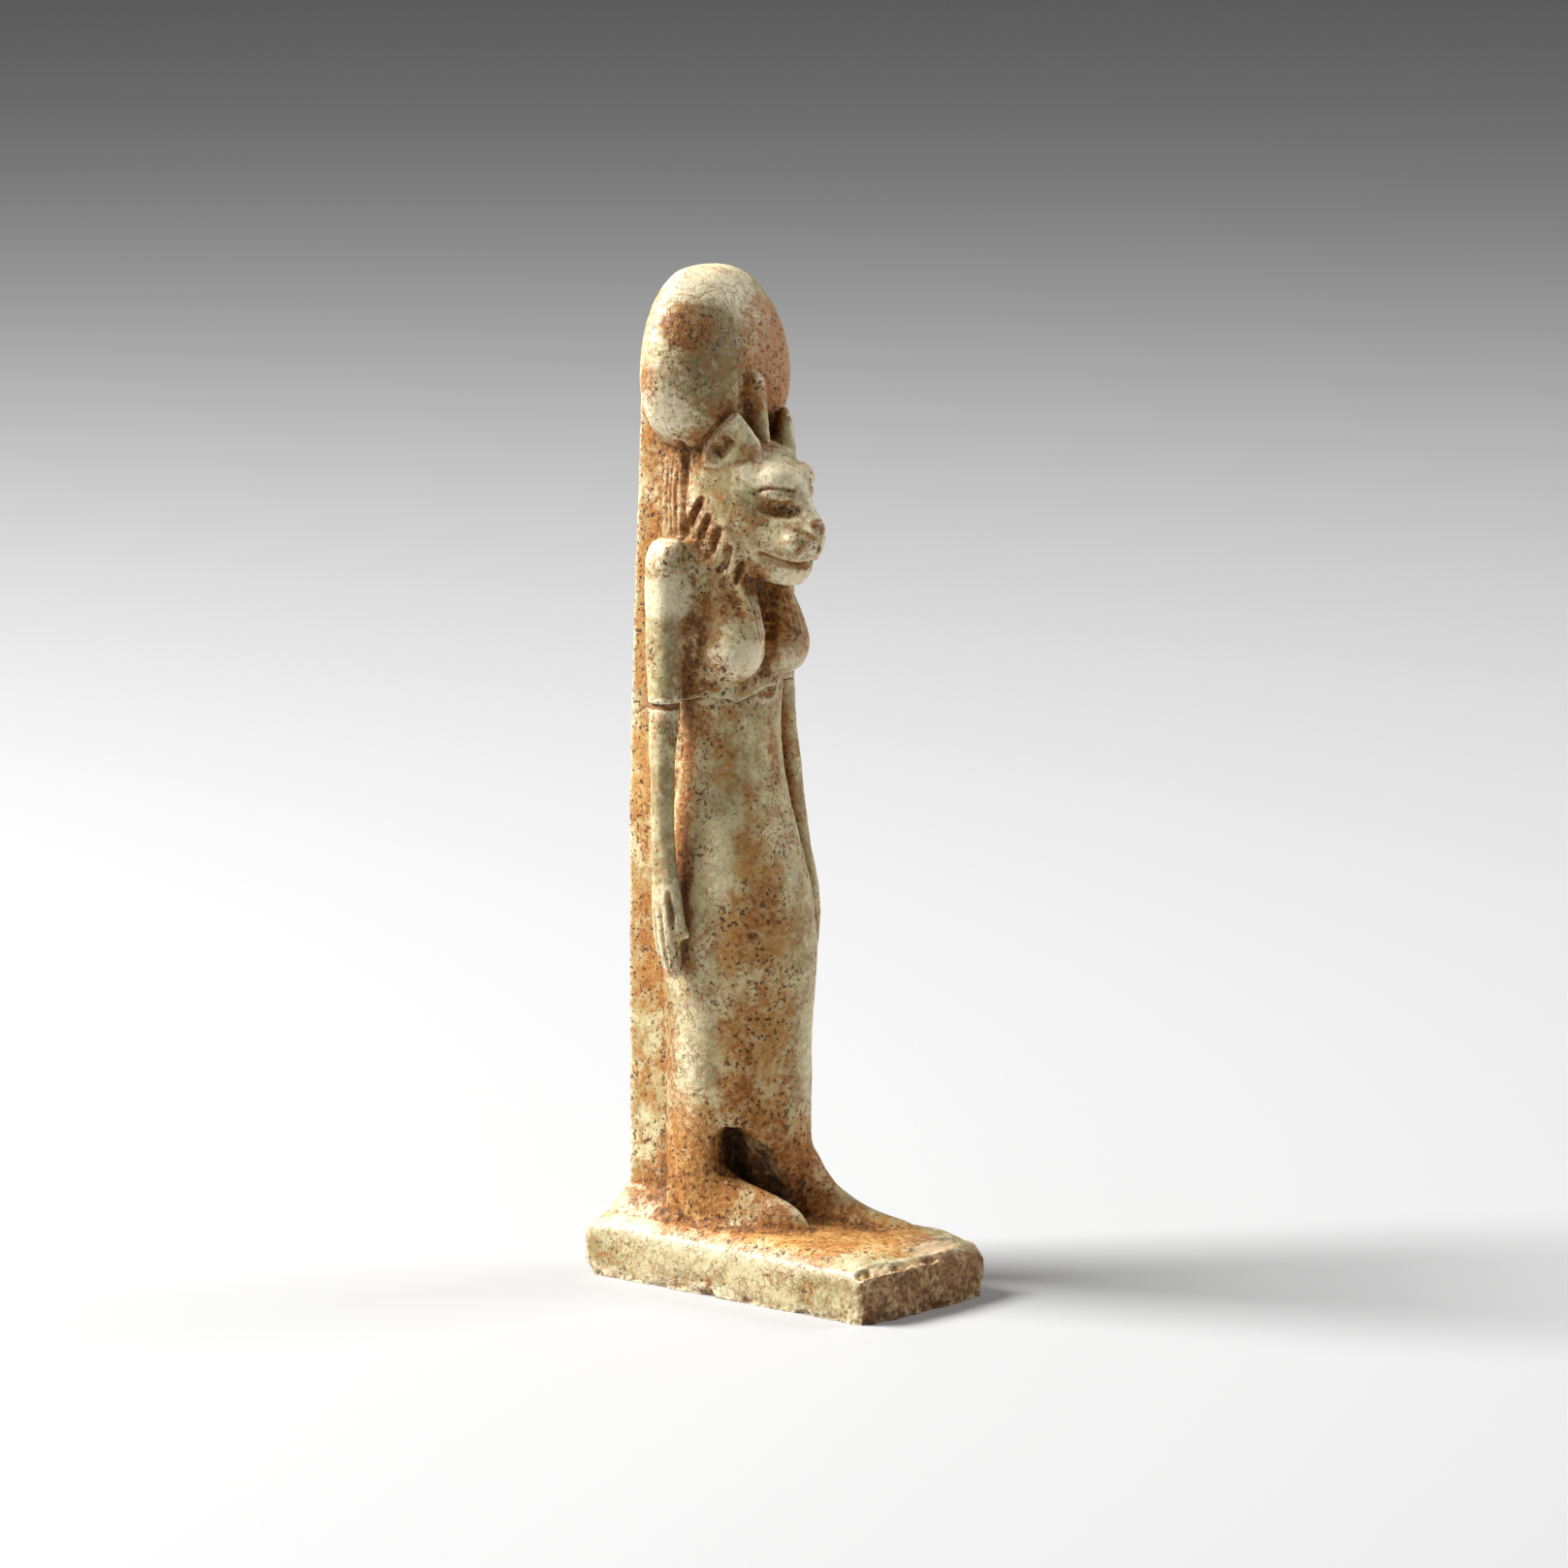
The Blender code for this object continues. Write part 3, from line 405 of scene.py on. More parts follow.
# Half of each head section: its height, then y on the nose line, x and y at that line's edge,
# on the face and at the cheek, and x and y at the back
HEAD_SECTIONS = [
    (62, -1.3, 0.6, -1.1, 1, -0.7, 1.1, -0.2, 0.8, 0.4),
    (62.6, -1.9, 0.8, -1.6, 1.5, -0.4, 1.8, 0.6, 1.7, 1.4),
    (63.4, -2.5, 0.9, -2.2, 1.9, -0.5, 2.5, 1.1, 2.6, 2.3),
    (64.2, -2.75, 1, -2.5, 2.3, -0.5, 3.2, 1.6, 3.6, 3.4),
    (65.1, -3.7, 1.2, -3.2, 2.5, -0.9, 3.8, 2, 4.6, 4.6),
    (66.4, -4.1, 1.2, -3.6, 2.5, -1.2, 4.3, 2.2, 5.2, 7),
    (67.7, -4.35, 0.95, -3.8, 2.2, -1.2, 4.5, 2.3, 5.3, 7),
    (69, -3.3, 0.8, -2.9, 2, -0.8, 4.5, 2.4, 5.3, 7),
    (70.4, -2.5, 0.8, -2.2, 2.1, -0.5, 4.5, 2.5, 5.3, 7),
    (71.7, -1.9, 0.9, -1.7, 2.4, -0.4, 4.5, 2.6, 5.3, 7),
    (73, -0.8, 1, -0.6, 2.4, 0.6, 4.3, 2.9, 5.2, 7),
    (74.2, 0.7, 1, 0.9, 2.3, 1.8, 3.8, 3.7, 4.9, 7),
    (75.1, 2.2, 1, 2.4, 2.2, 3, 3.4, 4.6, 4.2, 7),
    (75.5, 4, 0.8, 4.1, 1.6, 4.5, 2.4, 5.4, 3, 7),
]


def head():
    """Skull, face and jaw of the lioness, a blunt wedge in plan."""
    rings = []
    for row in spline(HEAD_SECTIONS, 3):
        z, pairs = row[0], row[1:]
        right = [(0.0, pairs[0])] + [(pairs[i], pairs[i + 1]) for i in range(1, 9, 2)]
        right += [(0.6 * pairs[7], pairs[8] + 2.0), (0.0, pairs[8] + 2.4)]
        half = spline(right, 4)
        whole = np.vstack([half, half[-2:0:-1] * (-1, 1)])
        rings.append([Vector((x, y, z)) for x, y in whole])
    return closed_over(rings)


def brow(side):
    return ball((side * 1.55, -0.3, 72.0), (1.95, 1.3, 1.45), turn=side * math.radians(35))


def eyeball(side):
    return ball((side * 2.25, -0.25, 70.5), (1.75, 0.7, 0.65), turn=side * math.radians(56))


def whisker_pad(side):
    return ball((side * 1.05, -1.35, 66.3), (1.5, 1.8, 1.5), turn=side * math.radians(20))


def ear(side):
    """A leaf-shaped ear, broad below, facing forwards and out."""
    rows = [
        (-1.4, 0, 0.2, 2.9, 1, 1.2),
        (0.4, 0, 0.1, 2.75, 0.85, 1.1),
        (1.7, 0.1, 0, 2, 0.7, 0.9),
        (2.8, 0.2, 0, 1.1, 0.5, 0.6),
        (3.6, 0.3, 0, 0.35, 0.3, 0.35),
    ]
    leaf = column(rows, sides=28, per_span=5, power=2.6)
    leaf = moved(leaf, Matrix.Translation((-3.6, 3.75, 74.5)) @ Matrix.Rotation(math.radians(-57), 4, "Z"))
    return leaf if side == RIGHT else mirrored(leaf)


def ruff():
    """The mane as a collar round the face, lower at the throat than at the back."""
    stations = [
        (2, 4.1, 62.8, 72),
        (3, 4.8, 62.2, 73),
        (4.4, 5.3, 62.6, 73.6),
        (6, 5.65, 63.6, 73.6),
        (7.4, 5.8, 64.8, 73.4),
        (8.3, 5.6, 65.6, 73),
    ]
    turn = np.arange(48) * 2 * math.pi / 48
    rings = []
    for y, half_width, low, high in spline(stations, 4):
        x = half_width * np.sign(np.cos(turn)) * np.abs(np.cos(turn)) ** 0.8
        z = (low + high) / 2 + (high - low) / 2 * np.sign(np.sin(turn)) * np.abs(np.sin(turn)) ** 0.8
        rings.append([Vector((a, y, b)) for a, b in zip(x, z)])
    return closed_over(rings)


def wig_back():
    """The wig's square back, between the mane and the pillar."""
    rows = [
        (61, 0, 9, 5.3, 3, 3),
        (66, 0, 9, 5.35, 3, 3),
        (71, 0, 9, 5.2, 3, 3),
        (75.5, 0, 9, 4.9, 3, 3),
    ]
    return column(rows, sides=40, power=5.0)


def lappet(side):
    """One front fall of the wig, from beside the chin to the top of the breast."""
    rows = [
        (56.2, side * 2.7, 1.25, 0.6, 0.3, 2),
        (57, side * 2.65, 1.3, 0.85, 0.5, 2.4),
        (58.6, side * 2.55, 1.95, 0.95, 0.7, 2.8),
        (60.6, side * 2.45, 2.9, 1.1, 0.9, 3),
        (62.6, side * 2.5, 3.9, 1.4, 1.1, 3),
        (64.5, side * 2.6, 4.8, 1.6, 1.3, 3),
    ]
    return column(rows, sides=28, per_span=4, power=2.8)


# Places on the plinth that wear or breakage has ground off: a point on the flat and its outward direction.
# The point is in shares of the half width, the half length and the thickness, down from the top.
PLINTH_CHIPS = [
    ((-0.983, 0.960, 0.915), (-0.3, 0.75, -0.6)),
    ((-0.983, 0.994, 0), (-0.6, 0.6, 0.35)),
    ((0.960, 0.972, 0.894), (0.5, 0.6, -0.6)),
    ((0.229, -0.977, 0), (0.1, -0.6, 0.8)),
    ((-0.949, -0.955, 0), (-0.6, -0.5, 0.6)),
]


def plinth():
    """The foot slab: its top swells round the feet, and its edges and corners are worn or chipped."""
    clay = bmesh.new()
    bmesh.ops.create_cube(clay, size=1.0)
    bmesh.ops.subdivide_edges(clay, edges=clay.edges, cuts=23, use_grid_fill=True)
    half_width = PLINTH_WIDTH / MM / 2
    half_length = PLINTH_LENGTH / MM / 2
    thickness = PLINTH_THICKNESS / MM
    forward = STAND_Y / MM
    crown = PLINTH_CROWN / MM
    for vert in clay.verts:
        u, v, w = 2 * vert.co
        x, y = half_width * u, half_length * v
        side_rise = min(1.0, (half_width - abs(x)) * MM / PLINTH_SIDE_SWELL_WIDTH)
        end_swell = PLINTH_FRONT_SWELL_LENGTH if y < 0 else PLINTH_BACK_SWELL_LENGTH
        end_rise = min(1.0, (half_length - abs(y)) * MM / end_swell)
        swell = crown * math.sin(side_rise * math.pi / 2) * math.sin(end_rise * math.pi / 2)
        swell += 0.2 * v + 0.25 * max(0.0, u) * (1 - v)
        z = (thickness + SAWN_OFF) * (w / 2 - 0.5) + swell * (w + 1) / 2
        if v < 0:
            y -= PLINTH_FRONT_BULGE / MM * v * u * u
        vert.co = (x, y - forward, z)
    for (across, along, down), outward in PLINTH_CHIPS:
        point = Vector((across * half_width, along * half_length - forward, -down * thickness))
        outward = Vector(outward).normalized()
        for vert in clay.verts:
            proud = (vert.co - point).dot(outward)
            if proud > 0:
                vert.co -= proud * outward
    return clay


def figure_lumps():
    lumps = [plinth(), pillar(), body(), legs(), shoulder_yoke(), right_foot(), left_foot()]
    lumps += [sun_disc(), uraeus(), head(), ruff(), wig_back()]
    for side in (RIGHT, LEFT):
        lumps += [breast(side), arm(side), deltoid(side), thumb(side), lappet(side)]
        lumps += [brow(side), eyeball(side), whisker_pad(side), ear(side)]
    standing = Matrix.Translation((0, STAND_Y, PLINTH_THICKNESS)) @ Matrix.Scale(MM, 4)
    return [moved(lump, standing) for lump in lumps]


def melted(lumps, name):
    """All lumps as one skin: a voxel remesh, then softened."""
    mesh = bpy.data.meshes.new(name)
    whole = bmesh.new()
    for lump in lumps:
        piece = bpy.data.meshes.new("lump")
        lump.to_mesh(piece)
        whole.from_mesh(piece)
        lump.free()
        bpy.data.meshes.remove(piece)
    whole.to_mesh(mesh)
    whole.free()
    clay = bpy.data.objects.new(name, mesh)
    remesh = clay.modifiers.new("melt", "REMESH")
    remesh.mode = "VOXEL"
    remesh.voxel_size = VOXEL
    soften = clay.modifiers.new("soften", "SMOOTH")
    soften.factor = 0.5
    soften.iterations = SOFTEN_STEPS
    return applied(clay)


def applied(clay):
    """The mesh that a loose object's modifiers make; the object itself goes."""
    bpy.context.scene.collection.objects.link(clay)
    graph = bpy.context.evaluated_depsgraph_get()
    made = bpy.data.meshes.new_from_object(clay.evaluated_get(graph), depsgraph=graph)
    bpy.data.objects.remove(clay)
    return made


class Skin:
    """The melted skin while it is carved and stained, in millimetres above the plinth."""

    def __init__(self, mesh):
        self.mesh = mesh
        self.read()

    def read(self):
        count = len(self.mesh.vertices)
        flat = np.empty(count * 3, np.float32)
        self.mesh.vertices.foreach_get("co", flat)
        self.points = (flat.reshape(-1, 3).astype(float) - STAND) / MM
        self.mesh.vertices.foreach_get("normal", flat)
        self.facing = flat.reshape(-1, 3).astype(float)
        ends = np.empty(len(self.mesh.edges) * 2, np.int32)
        self.mesh.edges.foreach_get("vertices", ends)
        self.ends = ends.reshape(-1, 2).T
        faces = [tuple(face.vertices) for face in self.mesh.polygons]
        self.tree = BVHTree.FromPolygons(self.points.tolist(), faces)

    def write(self):
        placed = (self.points * MM + STAND).astype(np.float32)
        self.mesh.vertices.foreach_set("co", placed.ravel())
        self.mesh.update()
        self.read()

    def evened(self, values, steps):
        """Values, or directions, averaged again and again with their neighbours'."""
        a, b = self.ends
        table = values.reshape(len(values), -1).astype(float)
        shares = 1 + np.bincount(a, minlength=len(table)) + np.bincount(b, minlength=len(table))
        for _ in range(steps):
            total = table.copy()
            for column_at in range(table.shape[1]):
                total[:, column_at] += np.bincount(a, table[b, column_at], len(table))
                total[:, column_at] += np.bincount(b, table[a, column_at], len(table))
            table = total / shares[:, None]
        return table.reshape(values.shape)

    def directions(self, steps=8):
        """Which way the skin faces, evened out, so that a cut runs true."""
        even = self.evened(self.facing, steps)
        return even / np.linalg.norm(even, axis=1, keepdims=True)

    def snapped(self, path):
        """The path drawn smooth, in short steps, and laid on the skin."""
        path = np.asarray(path, float)
        if len(path) == 2:
            path = np.array([path[0], path.mean(0), path[1]])
        length = np.linalg.norm(np.diff(path, axis=0), axis=1).sum()
        drawn = spline(path, math.ceil(length / (len(path) - 1) / GROOVE_STEP))
        return np.array([self.tree.find_nearest(Vector(p))[0] for p in drawn])

    def groove(self, path, width, depth, both_sides=False, ends=0.6):
        """Cuts a rounded groove along a path, or raises a ridge where depth is negative."""
        paths = [np.asarray(path, float)]
        if both_sides:
            paths.append(paths[0] * (-1, 1, 1))
        for one in paths:
            line = self.snapped(one)
            near = np.all((self.points > line.min(0) - width) & (self.points < line.max(0) + width), axis=1)
            index = np.where(near)[0]
            apart = np.linalg.norm(self.points[index, None] - line[None], axis=2)
            place = apart.argmin(1) / (len(line) - 1)
            fade = np.clip(np.minimum(place, 1 - place) / ends * 2 + 0.45, 0, 1)
            share = np.clip(1 - apart.min(1) / (width / 2), 0, 1)
            cut = depth * fade * share * share * (3 - 2 * share)
            self.points[index] -= self.aim[index] * cut[:, None]

    def push(self, amount):
        """Moves every point along its direction by its own amount."""
        self.points += self.aim * amount[:, None]


def on_arm(side, path):
    """A path drawn on her right arm, carried to either arm and its swing."""
    return [(side * x, y - lead(side, z), z) for x, y, z in path]


MANE_LOCKS = [
    ((-5.6, 5.9, 70), (-5.7, 7.3, 67.3)),
    ((-5.4, 5.1, 68.4), (-5.6, 6.3, 66.1)),
    ((-5.2, 4.1, 67.2), (-5.4, 5.2, 64.9)),
    ((-4.8, 3.2, 65.5), (-4.9, 4.1, 63.5)),
    ((-4.1, 2.2, 63.9), (-4.3, 2.8, 62.4)),
]
# Each strand of the wig: its place behind the face, how deep it is cut, and its top and low ends
WIG_STRANDS = [(9.3, 0.2, 72.9, 66.4), (10.0, 0.13, 73.2, 66.0), (10.6, 0.18, 72.8, 66.9)]
LAPPET_FLUTES = (2.0, 2.5, 3.0)
BETWEEN_TOES = [(4.7, -10.4), (5.6, -11.0), (6.4, -10.9)]

# Where one lump runs softly into the next: place, reach and how far it is evened
BLENDED = [
    ((0, -0.5, 69), (6, 5.5, 8), 20),
    ((0, 4.5, 57), (10.5, 6.5, 11), 26),
    ((4, 2, 9.5), (7.5, 8.5, 5), 40),
    ((0, -1, 3), (9, 12, 4.5), 16),
    ((-5.6, 2.4, 3.4), (2.6, 5, 6), 50),
    ((-8.4, 7, 29), (3, 5, 8), 14),
    ((-8.2, 5.6, 29.2), (1.4, 1.6, 1.8), 30),
    ((8.4, 5, 29), (3, 5, 8), 14),
]


def blended(skin):
    for at, reach, steps in BLENDED:
        share = np.clip(2.5 * within(skin.points, at, reach), 0, 1)[:, None]
        skin.points = skin.points * (1 - share) + skin.evened(skin.points, steps) * share
    skin.write()


def carve_head(skin):
    for top, low in MANE_LOCKS:
        skin.groove([top, low], 1.05, 0.62, both_sides=True)
    behind_mane = [(-5.5, 8.4, 75.4), (-5.7, 8.3, 69.5), (-5.8, 8.0, 65.2)]
    in_ear = [(-5.1, 4.6, 74.3), (-4.7, 3.9, 74.9), (-4.4, 3.4, 76.0)]
    skin.groove(behind_mane, 1.5, 0.62, both_sides=True, ends=0.5)
    for y, depth, top, low in WIG_STRANDS:
        strand = [(-5.4, y - 0.1, top), (-5.5, y + 0.12, 70.0), (-5.5, y - 0.1, low)]
        skin.groove(strand, 0.7, depth, both_sides=True, ends=0.5)
    skin.groove(in_ear, 2.6, 0.65, both_sides=True)


def carve_face(skin):
    upper_lid = [(-3.4, 1.1, 70.95), (-2.5, -0.4, 71.4), (-1.2, -1.9, 71.05)]
    under_eye = [(-2.8, 0.2, 69.7), (-1.9, -0.9, 69.25), (-1.0, -1.9, 69.35)]
    nostril = [(-1.7, -2.6, 67.5), (-1.3, -3.2, 67.2), (-0.8, -3.8, 66.8)]
    mouth = [(-3.1, 0.7, 65.3), (-2.5, -0.5, 64.75), (-1.5, -1.7, 64.3), (-0.7, -2.6, 64.3), (0, -2.9, 64.4)]
    under_nose = [(0, -4.2, 67.2), (0, -4.0, 65.9), (0, -3.4, 65.2)]
    skin.groove(upper_lid, 0.7, 0.34, both_sides=True)
    skin.groove(under_eye, 2.2, 0.8, both_sides=True)
    skin.groove(nostril, 0.8, 0.24, both_sides=True)
    skin.groove([(x, y, z - 0.3) for x, y, z in mouth], 1.3, 0.16, both_sides=True, ends=0.2)
    skin.groove(mouth, 0.6, 0.3, both_sides=True, ends=0.2)
    skin.groove(under_nose, 0.5, 0.2, ends=0.3)


def carve_body(skin):
    for x in LAPPET_FLUTES:
        flute = [(-x, 2.2, 62.0), (-x, 1.0, 59.2), (-x, 0.3, 57.0)]
        skin.groove(flute, 0.42, 0.15, both_sides=True, ends=0.4)
    between_breasts = [(0, 2.6, 62.0), (0, 1.8, 59.5), (0, 2.4, 57.0)]
    skin.groove(between_breasts, 1.8, 0.7, ends=0.2)
    for side in (RIGHT, LEFT):
        for i in range(2):
            y = 7.25 + 0.95 * i
            between_fingers = [(9.5, y + 0.3, 31.5), (9.4, y, 28.5), (9.1, y - 0.2, 25.8)]
            skin.groove(on_arm(side, between_fingers), 0.55, 0.2, ends=0.2)
        beside_thumb = [(9.4, 6.7, 33.2), (9.2, 6.6, 31.6), (9.0, 6.5, 30.0)]
        skin.groove(on_arm(side, beside_thumb), 0.85, 0.55)
    for x, y in BETWEEN_TOES:
        skin.groove([(x, y + 1.0, 1.9), (x, y - 0.6, 1.3)], 0.5, 0.08)
    hem = [(1.5, -0.3, 9.5), (3.3, -0.6, 9.3), (5.5, 0.6, 9.3)]
    skin.groove(hem, 0.5, 0.07)


# The mended break: its height above the plinth at each bearing round the chest
BREAK_CENTRE = (0.0, 8.0)
BREAK_LINE = [
    (-180, 48.9), (-143, 49), (-137, 49.8), (-112, 50.6), (-97, 50.9), (-87, 51), (-82, 51.1),
    (-72, 51.4), (-57, 51.4), (-43, 51.2), (-34, 50.8), (-31, 50.9), (-20, 51.2), (-6, 51.5),
    (10, 51.9), (37, 51.9), (56, 52.3), (81, 51.7), (93, 51.5), (112, 50.9), (137, 50.3),
    (144, 49.5), (180, 48.9),
]
FILLED_GAP = {"at": (-9.0, 8.0, 50.7), "reach": (2.4, 2.0, 0.32), "deep": 0.22}
FLAKE = {"at": (1.2, 3.5, 51.3), "reach": (1.5, 2.0, 0.62), "deep": 0.28}


def bearing(points, centre):
    """Degrees round an upright axis, 0 in front and -90 on her right."""
    return np.degrees(np.arctan2(points[:, 0] - centre[0], centre[1] - points[:, 1]))


def above_break(points):
    """How far each point stands above the break line, in millimetres."""
    turn, height = zip(*BREAK_LINE)
    return points[:, 2] - np.interp(bearing(points, BREAK_CENTRE), turn, height)


def within(points, at, reach):
    """1 at the middle of an egg-shaped patch, falling to 0 at its edge."""
    off = (points - np.array(at)) / np.array(reach)
    return np.clip(1 - (off**2).sum(1), 0, 1)


def filled_gap(points):
    """1 in the straight-sided slot of filler across her right arm."""
    off = np.abs(points - np.array(FILLED_GAP["at"])) / np.array(FILLED_GAP["reach"])
    return np.clip(4 * (1 - off.max(1)), 0, 1)


def rough(points, size, seed, octaves=2):
    """Smooth lumpy noise from about -1 to 1, with lumps about the given size in millimetres."""
    shift = Vector((17.3 * seed, 5.1 * seed, 9.7 * seed))
    made = [noise.fractal(Vector(p) / size + shift, 1.0, 2.1, octaves) for p in points.tolist()]
    return np.array(made)


# The mended break's cut and its proud lip: how deep or high, and how broad
BREAK_CUT = (0.08, 0.16)
BREAK_LIP = (0.05, 0.7)


def wear(skin):
    """Breaks, chips and the unevenness of a surface pressed in a mould and long buried."""
    points = skin.points
    sunk = 0.06 * rough(points, 3.2, 1) + 0.032 * rough(points, 0.8, 2)
    off_break = above_break(points)
    sunk += BREAK_CUT[0] * np.exp(-((off_break + 0.05) / BREAK_CUT[1]) ** 2)
    sunk -= BREAK_LIP[0] * np.clip(1 - off_break / BREAK_LIP[1], 0, 1) * (off_break > 0)
    sunk += FILLED_GAP["deep"] * filled_gap(points)
    sunk += FLAKE["deep"] * np.clip(3 * within(points, FLAKE["at"], FLAKE["reach"]), 0, 1)
    for at, reach, deep in CHIPS:
        sunk += deep * np.clip(2 * within(points, at, reach), 0, 1)
    torn = np.clip(1.5 * patches(points, FRESH), 0, 1)
    sunk += torn * (0.22 + 0.2 * rough(points, 1.3, 6) + 0.08 * rough(points, 0.4, 7))
    front = broken_front(points)
    sunk += front * (0.26 * rough(points, 1.6, 3) + 0.1 * rough(points, 0.45, 4) + 0.1)
    low_edge = np.clip(1 - np.abs(points[:, 2] + PLINTH_THICKNESS / MM - 0.2) / 0.7, 0, 1)
    sunk += low_edge * np.clip(0.4 * rough(points, 1.1, 5) + 0.1, 0, 0.5)
    skin.push(-sunk)


def broken_front(points):
    """1 on the plinth's broken front face and its ragged top edge."""
    y_front = -(PLINTH_LENGTH / 2 + STAND_Y) / MM
    near_front = np.clip((y_front + 1.5 - points[:, 1]) / 0.8, 0, 1)
    return near_front * (points[:, 2] < 1.6)


# Small losses: where, how far they reach and how deep, in millimetres
CHIPS = [
    ((-3.8, 1, 29.2), (0.5, 0.6, 0.4), 0.1),
    ((-3.2, 0.8, 28.7), (0.35, 0.5, 0.3), 0.1),
    ((-5.3, 13.9, 42.5), (0.4, 0.3, 0.3), 0.14),
    ((-8, -16.2, 0.2), (1.3, 0.8, 0.9), 0.35),
    ((-3.4, -16.8, 0.6), (1.7, 0.9, 0.9), 0.3),
    ((0.8, -17, 0.5), (1.5, 0.8, 0.8), 0.4),
    ((6, -17, 0.4), (1.8, 0.9, 0.7), 0.3),
    ((-8.9, 2.4, -4.6), (0.7, 1, 0.7), 0.4),
    ((-8.9, -9.5, -4.7), (0.6, 1.3, 0.5), 0.35),
    ((-8.9, 9, -4.7), (0.6, 1.2, 0.5), 0.3),
    ((-5, 5, 14.5), (0.5, 0.5, 0.4), 0.15),
    ((8.9, 6, -0.6), (0.7, 1.6, 0.8), 0.35),
    ((5.3, 15.6, 30), (0.6, 0.5, 1.4), 0.3),
    ((-3, 17.9, -0.2), (1.5, 0.6, 0.7), 0.3),
]


